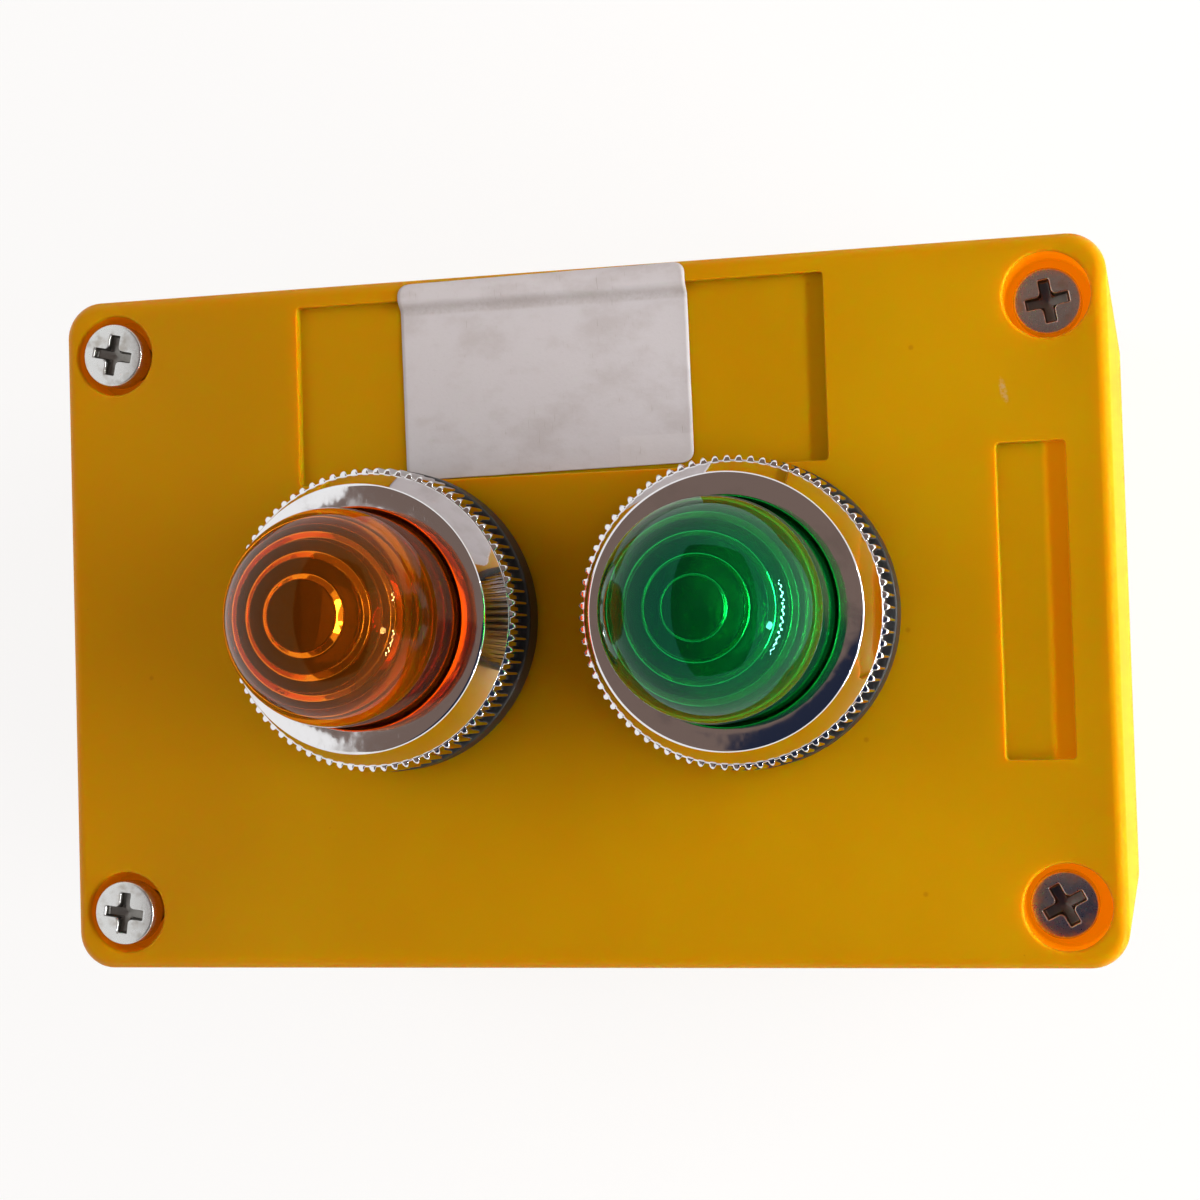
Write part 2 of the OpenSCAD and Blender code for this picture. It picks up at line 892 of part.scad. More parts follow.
module amber_washer()
{
    color("silver") at_lamp(amber_x, amber_y) lock_washer();
}

module amber_ring_nut()
{
    color("black") at_lamp(amber_x, amber_y) ring_nut();
}

module amber_lens_seal()
{
    color("dimgray") at_lamp(amber_x, amber_y) lens_seal();
}

module amber_lens()
{
    color("darkorange") at_lamp(amber_x, amber_y) lens();
}

module amber_bezel()
{
    color("silver") at_lamp(amber_x, amber_y) bezel();
}

module amber_bulb_glass()
{
    color("lightcyan") at_lamp(amber_x, amber_y) bulb_glass();
}

module amber_bulb_cap()
{
    color("peru") at_lamp(amber_x, amber_y) bulb_cap();
}

module amber_socket()
{
    color("darkgoldenrod") at_lamp(amber_x, amber_y) socket();
}

module amber_terminal_block()
{
    color("saddlebrown") at_lamp(amber_x, amber_y) terminal_block();
}

module amber_terminal_plates()
{
    color("darkgoldenrod") at_lamp(amber_x, amber_y) terminal_plates();
}

module amber_terminal_screws()
{
    color("silver") at_lamp(amber_x, amber_y) terminal_screws();
}

module green_body()
{
    color("black") at_lamp(green_x, green_y) lamp_body();
}

module green_panel_gasket()
{
    color("dimgray") at_lamp(green_x, green_y) panel_gasket();
}

module green_washer()
{
    color("silver") at_lamp(green_x, green_y) lock_washer();
}

module green_ring_nut()
{
    color("black") at_lamp(green_x, green_y) ring_nut();
}

module green_lens_seal()
{
    color("dimgray") at_lamp(green_x, green_y) lens_seal();
}

module green_lens()
{
    color("seagreen") at_lamp(green_x, green_y) lens();
}

module green_bezel()
{
    color("silver") at_lamp(green_x, green_y) bezel();
}

module green_bulb_glass()
{
    color("lightcyan") at_lamp(green_x, green_y) bulb_glass();
}

module green_bulb_cap()
{
    color("peru") at_lamp(green_x, green_y) bulb_cap();
}

module green_socket()
{
    color("darkgoldenrod") at_lamp(green_x, green_y) socket();
}

module green_terminal_block()
{
    color("saddlebrown") at_lamp(green_x, green_y) terminal_block();
}

module green_terminal_plates()
{
    color("darkgoldenrod") at_lamp(green_x, green_y) terminal_plates();
}

module green_terminal_screws()
{
    color("silver") at_lamp(green_x, green_y) terminal_screws();
}

base();
threaded_inserts();
cable_grommet();
cover();
cover_screws();
sticker();
amber_body();
amber_panel_gasket();
amber_washer();
amber_ring_nut();
amber_lens_seal();
amber_lens();
amber_bezel();
amber_bulb_glass();
amber_bulb_cap();
amber_socket();
amber_terminal_block();
amber_terminal_plates();
amber_terminal_screws();
green_body();
green_panel_gasket();
green_washer();
green_ring_nut();
green_lens_seal();
green_lens();
green_bezel();
green_bulb_glass();
green_bulb_cap();
green_socket();
green_terminal_block();
green_terminal_plates();
green_terminal_screws();
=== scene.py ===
"""Dresses the two-lamp control station with finished surfaces, materials, studio and camera.

The back of the case lies on z = 0, its front faces +Z and its long side runs along X. Sizes
in the classes are millimetres, and Skin turns them into metres when it makes a mesh. Heights
on a lamp count from the front of the cover.
"""
import logging
import math
from collections.abc import Callable
from dataclasses import KW_ONLY, dataclass, field
from enum import Enum
from functools import cached_property

import bmesh
import bpy
import numpy as np
from mathutils import Matrix, Vector
from mathutils.geometry import delaunay_2d_cdt


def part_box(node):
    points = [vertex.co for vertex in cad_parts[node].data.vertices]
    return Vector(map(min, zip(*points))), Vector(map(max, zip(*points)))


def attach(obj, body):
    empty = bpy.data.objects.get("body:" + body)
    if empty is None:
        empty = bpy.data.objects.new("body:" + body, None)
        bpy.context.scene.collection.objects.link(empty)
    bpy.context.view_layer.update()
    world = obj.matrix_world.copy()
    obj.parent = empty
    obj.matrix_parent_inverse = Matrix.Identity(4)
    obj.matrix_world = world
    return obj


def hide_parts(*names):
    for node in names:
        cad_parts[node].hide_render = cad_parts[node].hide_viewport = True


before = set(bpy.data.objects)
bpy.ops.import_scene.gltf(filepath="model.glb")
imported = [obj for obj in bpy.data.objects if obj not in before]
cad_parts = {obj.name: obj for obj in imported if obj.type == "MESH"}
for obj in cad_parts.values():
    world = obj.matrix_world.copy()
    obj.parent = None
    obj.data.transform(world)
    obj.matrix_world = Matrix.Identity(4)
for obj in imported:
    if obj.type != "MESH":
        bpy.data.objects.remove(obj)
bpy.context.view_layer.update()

MM = 0.001
LOG = logging.getLogger("control_station")
# Distances in metres below which points become one: in a skin, in a copied node, and on a sliver
SEAM = 4e-7
COPY_SEAM = 2e-6
SLIVER = 1e-8
# Angle in degrees above which edges of carved and copied pieces are sharp
CREASE = 32
# Distances in millimetres from the middle of the case to the axes of the four screws
SCREW_X = 51.65
SCREW_Y = 31.25

Colour = tuple[float, float, float]


class Carve(Enum):
    """Ways in which a tool solid changes a body."""

    JOIN = "UNION"
    CUT = "DIFFERENCE"


class Shading(Enum):
    """Whether the faces of a patch are shaded as curved or as flat."""

    CURVED = True
    FLAT = False


def points(*pairs: tuple[float, float]) -> np.ndarray:
    """Profile of (radius, height) pairs as an array."""
    return np.array(pairs, float)


def arc(middle: tuple[float, float], radius: float, start: float, end: float, count: int) -> np.ndarray:
    """Points on a circle: middle + radius * (cos a, sin a), for a from start to end.

    Args:
        middle: centre of the arc.
        radius: its radius.
        start: first angle in degrees.
        end: last angle in degrees.
        count: number of points.

    Returns:
        The points, one per row.
    """
    return np.array(middle) + radius * directions(np.radians(np.linspace(start, end, count)))


def soften(line: np.ndarray, reach: float | np.ndarray, count: int = 6, closed: bool = False) -> np.ndarray:
    """Rounds the corners of a profile.

    Each corner P with the points A and B at a distance d along its two sides becomes the
    parabola (1-t)^2 A + 2t(1-t) P + t^2 B, and a support point a little before A and after B
    keeps the sides flat. The distance d is the reach, but at most 0.4 of the shorter side.

    Args:
        line: corners, one per row.
        reach: distance from a corner at which its rounding starts, for all or for each corner.
        count: number of points on a rounding.
        closed: whether the last corner joins the first.

    Returns:
        The rounded profile, closed by its first point if it is closed.
    """
    before = np.roll(line, 1, axis=0) - line
    after = np.roll(line, -1, axis=0) - line
    near = np.linalg.norm(before, axis=1)
    far = np.linalg.norm(after, axis=1)
    span = np.minimum(near, far)
    distance = np.minimum(np.broadcast_to(reach, span.shape), 0.4 * span)[:, None]
    one = before / np.maximum(near, 1e-9)[:, None]
    two = after / np.maximum(far, 1e-9)[:, None]
    t = np.linspace(0, 1, count)[None, :, None]
    start, end = (line + one * distance)[:, None], (line + two * distance)[:, None]
    curve = (1 - t) ** 2 * start + 2 * t * (1 - t) * line[:, None] + t ** 2 * end
    support = 1.15 * distance[:, None]
    rounded = np.concatenate(
        [line[:, None] + one[:, None] * support, curve, line[:, None] + two[:, None] * support], axis=1)
    if closed:
        ring = rounded.reshape(-1, 2)
        return np.concatenate([ring, ring[:1]])
    return np.concatenate([line[:1], rounded[1:-1].reshape(-1, 2), line[-1:]])


def smooth_step(value: np.ndarray) -> np.ndarray:
    """Rises from 0 to 1 as 3v^2 - 2v^3 between v = 0 and v = 1."""
    v = np.clip(value, 0, 1)
    return v * v * (3 - 2 * v)


def directions(turn: np.ndarray) -> np.ndarray:
    """Unit vectors (cos a, sin a) for angles in radians, one per row."""
    return np.stack([np.cos(turn), np.sin(turn)], axis=-1)


def wrapped(radius: np.ndarray, out: np.ndarray, height: np.ndarray) -> np.ndarray:
    """Grid of points round an axis, for which a radius per row and column is known.

    Args:
        radius: radii, one row per height and one column per direction.
        out: directions.
        height: heights.

    Returns:
        The grid.
    """
    plan = radius[..., None] * out[None]
    return np.concatenate([plan, np.broadcast_to(height[:, None, None], plan.shape[:2] + (1,))], axis=2)


@dataclass(frozen=True)
class Path:
    """A closed path seen from the front, as a centre and an outward direction per point.

    The point at radius r is centre + r * out. On a circle every centre is the same. On a
    rectangle the centres are those of its round corners.
    """

    centre: np.ndarray
    out: np.ndarray

    @staticmethod
    def circle(x: float = 0, y: float = 0, count: int = 96) -> "Path":
        """Circle round (x, y) with evenly spaced directions."""
        out = directions(np.linspace(0, 2 * np.pi, count, endpoint=False))
        return Path(np.broadcast_to(np.array([x, y], float), out.shape), out)

    @staticmethod
    def rectangle(x: float, y: float, length: float, width: float, radius: float, count: int = 9) -> "Path":
        """Rectangle with round corners, whose outline lies at the given radius.

        Args:
            x: middle along X.
            y: middle along Y.
            length: extent along X.
            width: extent along Y.
            radius: corner radius.
            count: points on each corner.

        Returns:
            The path, counter-clockwise from the corner in +X and +Y.
        """
        turn = np.radians(np.concatenate([np.linspace(90 * k, 90 * k + 90, count) for k in range(4)]))
        half = [length / 2 - radius, width / 2 - radius]
        side = np.array([[1, 1], [-1, 1], [-1, -1], [1, -1]], float) * half
        return Path(np.repeat(side, count, axis=0) + [x, y], directions(turn))

    def at(self, radius: float) -> np.ndarray:
        """Outline at one radius, one point per row."""
        return self.centre + radius * self.out

    def carry(self, profile: np.ndarray) -> np.ndarray:
        """Carries a profile along the path.

        Args:
            profile: (radius, height) pairs.

        Returns:
            Grid of points, one row per pair of the profile and one column per point of the path.
        """
        plan = self.centre[None] + profile[:, None, :1] * self.out[None]
        height = np.broadcast_to(profile[:, None, 1:], plan.shape[:2] + (1,))
        return np.concatenate([plan, height], axis=2)


def inside(spots: np.ndarray, outline: np.ndarray) -> np.ndarray:
    """Tells which spots lie inside an outline, by the parity of the edges crossed along +X.

    Args:
        spots: points to test, one per row.
        outline: corners of the outline.

    Returns:
        True for each spot inside.
    """
    a, b = outline[None], np.roll(outline, -1, axis=0)[None]
    p = spots[:, None]
    spans = (a[..., 1] > p[..., 1]) != (b[..., 1] > p[..., 1])
    rise = np.where(spans, b[..., 1] - a[..., 1], 1)
    crossing = a[..., 0] + (p[..., 1] - a[..., 1]) * (b[..., 0] - a[..., 0]) / rise
    return (spans & (p[..., 0] < crossing)).sum(axis=1) % 2 == 1


class Skin:
    """Patches in millimetres that are joined into one closed mesh in metres."""

    def __init__(self) -> None:
        """Starts with no patch."""
        self.points: list[np.ndarray] = []
        self.faces: list[list[int]] = []
        self.curved: list[bool] = []
        self.count = 0

    def add(self, spots: np.ndarray, faces: np.ndarray, shading: Shading = Shading.CURVED) -> "Skin":
        """Adds a patch.

        Args:
            spots: its points.
            faces: rows of indices into these points.
            shading: how the patch is shaded.

        Returns:
            The skin itself.
        """
        self.points.append(spots.reshape(-1, 3))
        self.faces += (faces + self.count).tolist()
        self.curved += [shading.value] * len(faces)
        self.count += len(self.points[-1])
        return self

    def grid(self, grid: np.ndarray, ring: bool = True, shading: Shading = Shading.CURVED) -> "Skin":
        """Adds a grid of points as quads.

        Args:
            grid: points in rows and columns.
            ring: whether the last column joins the first.
            shading: how the patch is shaded.

        Returns:
            The skin itself.
        """
        rows, columns = grid.shape[:2]
        r, c = np.meshgrid(np.arange(rows - 1), np.arange(columns - (not ring)), indexing="ij")
        d = (c + 1) % columns
        low, high = r * columns, (r + 1) * columns
        quads = np.stack([low + c, low + d, high + d, high + c], axis=-1)
        return self.add(grid, quads.reshape(-1, 4), shading)

    def fill(self, height: float, outer: np.ndarray, *holes: np.ndarray) -> "Skin":
        """Fills the flat region inside an outline and outside its holes with triangles.

        Args:
            height: height of the region.
            outer: its outline.
            holes: outlines of its holes.

        Returns:
            The skin itself.
        """
        outlines = [outer, *holes]
        starts = np.cumsum([0] + [len(o) for o in outlines])
        edges = np.concatenate(
            [np.stack([np.arange(len(o)), np.roll(np.arange(len(o)), -1)], axis=1) + s
             for o, s in zip(outlines, starts)])
        spots = [Vector(p) for p in np.concatenate(outlines).tolist()]
        made = delaunay_2d_cdt(spots, edges.tolist(), [], 1, 1e-6)
        flat = np.array([tuple(v) for v in made[0]])
        faces = np.array(made[2])
        middle = flat[faces].mean(axis=1)
        keep = inside(middle, outer)
        for hole in holes:
            keep &= ~inside(middle, hole)
        return self.add(np.c_[flat, np.full(len(flat), height)], faces[keep], Shading.FLAT)

    def mesh(self, name: str) -> bpy.types.Mesh:
        """Merges the seams, turns all faces outwards and returns the mesh in metres.

        Args:
            name: name of the mesh.

        Returns:
            The mesh.
        """
        mesh = bpy.data.meshes.new(name)
        mesh.from_pydata((np.concatenate(self.points) * MM).tolist(), [], self.faces)
        mesh.polygons.foreach_set("use_smooth", self.curved)
        work = bmesh.new()
        work.from_mesh(mesh)
        bmesh.ops.remove_doubles(work, verts=work.verts, dist=SEAM)
        bmesh.ops.dissolve_degenerate(work, dist=SLIVER, edges=work.edges)
        bmesh.ops.recalc_face_normals(work, faces=work.faces)
        work.to_mesh(mesh)
        work.free()
        return mesh


def turned(profile: np.ndarray, x: float = 0, y: float = 0, count: int = 96) -> Skin:
    """Skin of a profile turned round the axis at (x, y)."""
    return Skin().grid(Path.circle(x, y, count).carry(profile))


def prism(path: Path, radius: float, low: float, high: float, edge: float = 0.0) -> Skin:
    """Solid of one outline between two heights, with its top edge rounded.

    Args:
        path: path of the outline.
        radius: radius of the outline on the path.
        low: height of the foot.
        high: height of the top.
        edge: reach of the rounding at the top.

    Returns:
        The closed skin.
    """
    side = points((radius, low), (radius, high), (max(radius - 2 * edge - 0.1, 0.3 * radius), high))
    profile = soften(side, edge) if edge else side[:2]
    skin = Skin().grid(path.carry(profile))
    return skin.fill(high, path.at(profile[-1, 0])).fill(low, path.at(radius))


def put(name: str, mesh: bpy.types.Mesh) -> bpy.types.Object:
    """Puts a mesh into the scene as an object at the origin.

    Args:
        name: name of the object.
        mesh: its mesh.

    Returns:
        The object.
    """
    thing = bpy.data.objects.new(name, mesh)
    bpy.context.scene.collection.objects.link(thing)
    return thing


def carve(body: bpy.types.Object, way: Carve, tools: list[Skin]) -> None:
    """Joins tool solids to a body or cuts them out of it, and keeps its edges sharp.

    Args:
        body: object whose mesh changes.
        way: whether the tools are joined or cut.
        tools: closed skins, used up by the call.
    """
    for tool in tools:
        cutter = put("cutter", tool.mesh("cutter"))
        boolean = body.modifiers.new("carve", "BOOLEAN")
        boolean.operation = way.value
        boolean.solver = "EXACT"
        boolean.object = cutter
        graph = bpy.context.evaluated_depsgraph_get()
        done = bpy.data.meshes.new_from_object(body.evaluated_get(graph))
        body.modifiers.clear()
        old, body.data = body.data, done
        bpy.data.meshes.remove(old)
        bpy.data.meshes.remove(cutter.data)
    body.data.set_sharp_from_angle(angle=math.radians(CREASE))


def finished(thing: bpy.types.Object, finish: "Finish", body: str, nodes: list[str]) -> None:
    """Gives a piece its finish, its body and the nodes that it stands for.

    Args:
        thing: the piece.
        finish: its finish.
        body: the body that it rides on.
        nodes: the nodes that it replaces.
    """
    thing.data.materials.clear()
    thing.data.materials.append(finish.material())
    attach(thing, body)
    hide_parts(*nodes)
    LOG.info("%s: %d faces", thing.name, len(thing.data.polygons))


def merged_copy(node: str, finish: "Finish", body: str) -> None:
    """Makes a smooth copy of a node whose shape is right, sharp above the crease angle.

    Args:
        node: name of the node.
        finish: finish of the copy.
        body: the body that it rides on.
    """
    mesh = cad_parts[node].data.copy()
    work = bmesh.new()
    work.from_mesh(mesh)
    bmesh.ops.remove_doubles(work, verts=work.verts, dist=COPY_SEAM)
    work.to_mesh(mesh)
    work.free()
    mesh.shade_smooth()
    mesh.set_sharp_from_angle(angle=math.radians(CREASE))
    finished(put(node + "_finished", mesh), finish, body, [node])


class Shade:
    """One output in a material, with arithmetic for outputs that carry a value."""

    def __init__(self, board: "Board", socket: bpy.types.NodeSocket) -> None:
        """Keeps the board and the socket."""
        self.board = board
        self.socket = socket

    def math(self, operation: str, first: "Shade | float", second: "Shade | float" = 0.0) -> "Shade":
        """Adds one Math node."""
        return self.board.add("ShaderNodeMath", {"operation": operation}, {0: first, 1: second})

    def __add__(self, other: "Shade | float") -> "Shade":
        """self + other."""
        return self.math("ADD", self, other)

    __radd__ = __add__

    def __sub__(self, other: "Shade | float") -> "Shade":
        """self - other."""
        return self.math("SUBTRACT", self, other)

    def __rsub__(self, other: "Shade | float") -> "Shade":
        """other - self."""
        return self.math("SUBTRACT", other, self)

    def __mul__(self, other: "Shade | float") -> "Shade":
        """self * other."""
        return self.math("MULTIPLY", self, other)

    def __truediv__(self, other: "Shade | float") -> "Shade":
        """self / other."""
        return self.math("DIVIDE", self, other)

    def __pow__(self, other: "Shade | float") -> "Shade":
        """self to the power of other."""
        return self.math("POWER", self, other)

    def __abs__(self) -> "Shade":
        """Size of self without its sign."""
        return self.math("ABSOLUTE", self)

    def most(self, other: "Shade | float") -> "Shade":
        """The larger of the two."""
        return self.math("MAXIMUM", self, other)

    def rise(self, low: float, high: float) -> "Shade":
        """Smooth step from 0 at low to 1 at high, or downwards if low is the larger.

        Args:
            low: value that gives 0.
            high: value that gives 1.

        Returns:
            The step.
        """
        if low > high:
            return 1 - self.rise(high, low)
        settings = {"interpolation_type": "SMOOTHSTEP"}
        return self.board.add("ShaderNodeMapRange", settings, {0: self, 1: low, 2: high})

    def step(self, low: float, high: float) -> "Shade":
        """The same smooth step of a coordinate, with both places in millimetres."""
        return self.rise(low * MM, high * MM)


class Board:
    """Node tree of one material or of the world, with its coordinates and its last shader."""

    def __init__(self, made: bpy.types.Material | bpy.types.World) -> None:
        """Empties the tree.

        Args:
            made: the material or the world, whose nodes are replaced.
        """
        self.made = made
        made.use_nodes = True
        self.tree = made.node_tree
        self.tree.nodes.clear()

    @staticmethod
    def named(name: str) -> "Board":
        """Board of a new material."""
        return Board(bpy.data.materials.new(name))

    @cached_property
    def place(self) -> Shade:
        """Object coordinates in metres."""
        return self.add("ShaderNodeTexCoord", {}, {}, "Object")

    @cached_property
    def x(self) -> Shade:
        """Coordinate along X in metres."""
        return self.add("ShaderNodeSeparateXYZ", {}, {0: self.place}, 0)

    @cached_property
    def y(self) -> Shade:
        """Coordinate along Y in metres."""
        return self.add("ShaderNodeSeparateXYZ", {}, {0: self.place}, 1)

    @cached_property
    def z(self) -> Shade:
        """Coordinate along Z in metres."""
        return self.add("ShaderNodeSeparateXYZ", {}, {0: self.place}, 2)

    def add(self, kind: str, settings: dict, links: dict, out: int | str = 0) -> Shade:
        """Adds a node.

        Args:
            kind: type of the node.
            settings: its settings.
            links: values or outputs for its inputs, by index or name.
            out: the output that is returned.

        Returns:
            That output.
        """
        node = self.tree.nodes.new(kind)
        for key, value in settings.items():
            setattr(node, key, value)
        for key, value in links.items():
            if isinstance(value, Shade):
                self.tree.links.new(value.socket, node.inputs[key])
            else:
                node.inputs[key].default_value = value
        return Shade(self, node.outputs[out])

    def noise(self, size: float, detail: float = 2, rough: float = 0.5,
              stretch: Colour = (1, 1, 1), turn: float = 0.0) -> Shade:
        """Noise between 0 and 1.

        Args:
            size: size of its grains in millimetres.
            detail: number of finer layers.
            rough: weight of the finer layers.
            stretch: scale per axis, above 1 for shorter grains.
            turn: turn of the grain round Z in degrees.

        Returns:
            The value.
        """
        where = self.add("ShaderNodeMapping", {}, {0: self.place, 2: (0, 0, math.radians(turn)), 3: stretch})
        sockets = {"Vector": where, "Scale": 1 / (size * MM), "Detail": detail, "Roughness": rough}
        return self.add("ShaderNodeTexNoise", {}, sockets)

    def cells(self, size: float) -> Shade:
        """Distance to the nearest of scattered points, in units of the grain size."""
        links = {"Vector": self.place, "Scale": 1 / (size * MM)}
        return self.add("ShaderNodeTexVoronoi", {}, links, "Distance")

    def mix(self, mask: Shade | float, first: Shade | Colour, second: Shade | Colour) -> Shade:
        """First colour where the mask is 0, second where it is 1.

        Args:
            mask: value between 0 and 1.
            first: colour or output for 0.
            second: colour or output for 1.

        Returns:
            The blend.
        """
        links = {0: mask}
        for index, colour in ((6, first), (7, second)):
            links[index] = colour if isinstance(colour, Shade) else (*colour, 1)
        return self.add("ShaderNodeMix", {"data_type": "RGBA"}, links, 2)

    def bump(self, height: Shade, depth: float) -> Shade:
        """Normal of a surface whose relief is height times depth in millimetres."""
        return self.add("ShaderNodeBump", {}, {"Strength": 1.0, "Distance": depth * MM, "Height": height})

    def spot(self, x: float, y: float, size_x: float, size_y: float, turn: float = 0.0) -> Shade:
        """Soft mark seen from the front, 1 in its middle and 0 at its edge, in millimetres.

        Args:
            x: middle along X.
            y: middle along Y.
            size_x: half its length.
            size_y: half its width.
            turn: turn in degrees.

        Returns:
            The mask.
        """
        c, s = math.cos(math.radians(turn)), math.sin(math.radians(turn))
        u = ((self.x - x * MM) * c + (self.y - y * MM) * s) / (size_x * MM)
        v = ((self.y - y * MM) * c - (self.x - x * MM) * s) / (size_y * MM)
        return (u * u + v * v).rise(1, 0.1)

    def surface(self, volume: Shade | None = None, **sockets: Shade | float | Colour) -> bpy.types.Material:
        """Ends the tree with a Principled shader.

        Args:
            volume: shader of the inside.
            sockets: inputs by name, with _ for a blank.

        Returns:
            The material.
        """
        links = {}
        for name, value in sockets.items():
            key = name.replace("_", " ").title().replace("Ior", "IOR")
            is_colour = isinstance(value, tuple) and key.endswith(("Color", "Tint"))
            links[key] = (*value, 1) if is_colour else value
        return self.close(self.add("ShaderNodeBsdfPrincipled", {}, links), volume)

    def close(self, shader: Shade, volume: Shade | None = None) -> bpy.types.Material | bpy.types.World:
        """Connects the last shaders to the output.

        Args:
            shader: shader of the surface.
            volume: shader of the inside.

        Returns:
            The material or the world.
        """
        kind = "World" if isinstance(self.made, bpy.types.World) else "Material"
        end = self.tree.nodes.new("ShaderNodeOutput" + kind)
        self.tree.links.new(shader.socket, end.inputs["Surface"])
        if volume:
            self.tree.links.new(volume.socket, end.inputs["Volume"])
        return self.made


@dataclass(frozen=True)
class Finish:
    """A finish that makes its material once and then returns the same one."""

    slot: str

    def material(self) -> bpy.types.Material:
        """The material of this finish."""
        known = bpy.data.materials.get(self.label())
        return known or self.paint(Board.named(self.label()))

    def label(self) -> str:
        """Name of the material."""
        return self.slot + "_finish"

    def paint(self, board: Board) -> bpy.types.Material:
        """Paints the finish on a board."""
        raise NotImplementedError


@dataclass(frozen=True)
class CasePlastic(Finish):
    """Orange-yellow gloss plastic, with moulding haze, fine grain, specks and light scratches.

    Thin plastic lets light through in the screw wells and beside the narrow recess, and a
    weak emission and a brighter orange colour in the wells stand in for it as painted glow.
    Painted shade makes the colour darker towards the left. The side walls and the back are
    duller than the front.
    Pairs of places are those between which a mask goes from 0 to 1, in millimetres.
    """

    slot: str = "case_plastic"
    colour: Colour = (0.545, 0.302, 0.002)
    # Darker colour where the haze is low and towards the left: moulding haze and painted shade
    deep: Colour = (0.515, 0.255, 0.0015)
    # Brighter, redder orange in the screw wells: painted glow of light through the thin plastic
    well: Colour = (0.60, 0.18, 0.002)
    pitted: Colour = (0.30, 0.13, 0.004)
    dirty: Colour = (0.32, 0.10, 0.002)
    scuffed: Colour = (0.60, 0.42, 0.22)
    left_glow: Colour = (0.15, 0.040, 0.0)
    right_glow: Colour = (0.46, 0.125, 0.0)
    band_glow: Colour = (0.24, 0.045, 0.0)
    well_side: tuple[float, float] = (5.0, 4.7)
    well_top: tuple[float, float] = (69.8, 69.2)
    well_foot: tuple[float, float] = (63.0, 64.0)
    band_left: tuple[float, float] = (50.3, 51.1)
    band_right: tuple[float, float] = (53.4, 53.1)
    band_end: tuple[float, float] = (16.5, 16.2)
    band_top: tuple[float, float] = (69.9, 69.6)
    band_foot: tuple[float, float] = (68.0, 68.5)
    end_wall: tuple[float, float] = (57.0, 57.5)
    side_wall: tuple[float, float] = (36.8, 37.3)
    back: tuple[float, float] = (0.6, 0.2)

    def wells(self, board: Board) -> Shade:
        """Mask of the four screw wells.

        Args:
            board: board that takes the nodes.

        Returns:
            The mask.
        """
        mask = abs(abs(board.x) - SCREW_X * MM).step(*self.well_side)
        mask = mask * abs(abs(board.y) - SCREW_Y * MM).step(*self.well_side) * board.z.step(*self.well_top)
        return mask * board.z.step(*self.well_foot)

    def band(self, board: Board) -> Shade:
        """Mask of the far wall of the narrow recess.

        Args:
            board: board that takes the nodes.

        Returns:
            The mask.
        """
        mask = board.x.step(*self.band_left) * board.x.step(*self.band_right)
        mask = mask * abs(board.y).step(*self.band_end) * board.z.step(*self.band_top)
        return mask * board.z.step(*self.band_foot)

    def walls(self, board: Board) -> Shade:
        """Mask of the side walls and the back."""
        mask = abs(board.x).step(*self.end_wall).most(abs(board.y).step(*self.side_wall))
        return mask.most(board.z.step(*self.back))

    def paint(self, board: Board) -> bpy.types.Material:
        """Mixes two shades by a broad haze and by painted shade towards the left, paints glow into
        the wells and beside the narrow recess, and adds marks to colour, roughness and relief.

        Args:
            board: board that takes the nodes.

        Returns:
            The material.
        """
        haze = board.noise(38, 3, 0.55, (1, 0.6, 1), 12)
        grain = board.noise(0.35, 3, 0.6)
        pits = board.cells(2.3).rise(0.055, 0.02) * board.noise(9, 1).rise(0.55, 0.7)
        scratches = board.noise(0.5, 2, 0.5, (9, 0.22, 1), 63).rise(0.70, 0.76)
        scratches = scratches * board.noise(14, 1).rise(0.52, 0.66)
        scuff = board.spot(47.0, 21.6, 0.45, 1.7, 12) * board.noise(0.4, 2).rise(0.35, 0.6)
        wells = self.wells(board)
        # Moulding haze, and painted shade that darkens the colour towards the left
        colour = board.mix((haze + board.x * 3.0).rise(0.33, 0.72), self.deep, self.colour)
        darkening = board.cells(11).rise(0.035, 0.01)
        # Painted glow colour in the wells; pits, specks and a scuff are marks of the plastic
        for mask, mark in ((wells, self.well), (pits * 0.5, self.pitted), (darkening * 0.45, self.dirty),
                           (scuff * 0.55, self.scuffed)):
            colour = board.mix(mask, colour, mark)
        glow = board.mix(wells, (0, 0, 0), board.mix(board.x.step(-10, 10), self.left_glow, self.right_glow))
        return board.surface(
            base_color=colour, ior=1.5, specular_ior_level=0.4, specular_tint=(1.0, 0.62, 0.03),
            roughness=0.27 + haze * 0.10 + scratches * 0.12 + scuff * 0.3 + self.walls(board) * 0.35,
            subsurface_weight=1.0, subsurface_radius=(1.0, 0.15, 0.02), subsurface_scale=3.0 * MM,
            emission_color=board.mix(self.band(board), glow, self.band_glow), emission_strength=1.0,
            normal=board.bump(grain * 0.35 - pits * 1.2 - scratches * 0.5, 0.012))


@dataclass(frozen=True)
class MouldedPlastic(Finish):
    """Dark moulded plastic with a fine grain and rubbed, slightly greyer patches."""

    slot: str = "black_moulding"
    colour: Colour = (0.010, 0.011, 0.012)
    worn: Colour = (0.030, 0.031, 0.032)
    roughness: float = 0.38

    def paint(self, board: Board) -> bpy.types.Material:
        """Mixes the two shades by noise and roughens the surface with a grain.

        Args:
            board: board that takes the nodes.

        Returns:
            The material.
        """
        patches = board.noise(3.5, 4, 0.6)
        grain = board.noise(0.18, 2)
        return board.surface(
            base_color=board.mix(patches.rise(0.5, 0.75), self.colour, self.worn),
            roughness=self.roughness + patches * 0.14, ior=1.5, normal=board.bump(grain, 0.008))


@dataclass(frozen=True)
class Phenolic(MouldedPlastic):
    """Brown pressed resin with darker flecks."""

    slot: str = "brown_moulding"
    colour: Colour = (0.085, 0.030, 0.012)
    worn: Colour = (0.040, 0.014, 0.007)
    roughness: float = 0.30


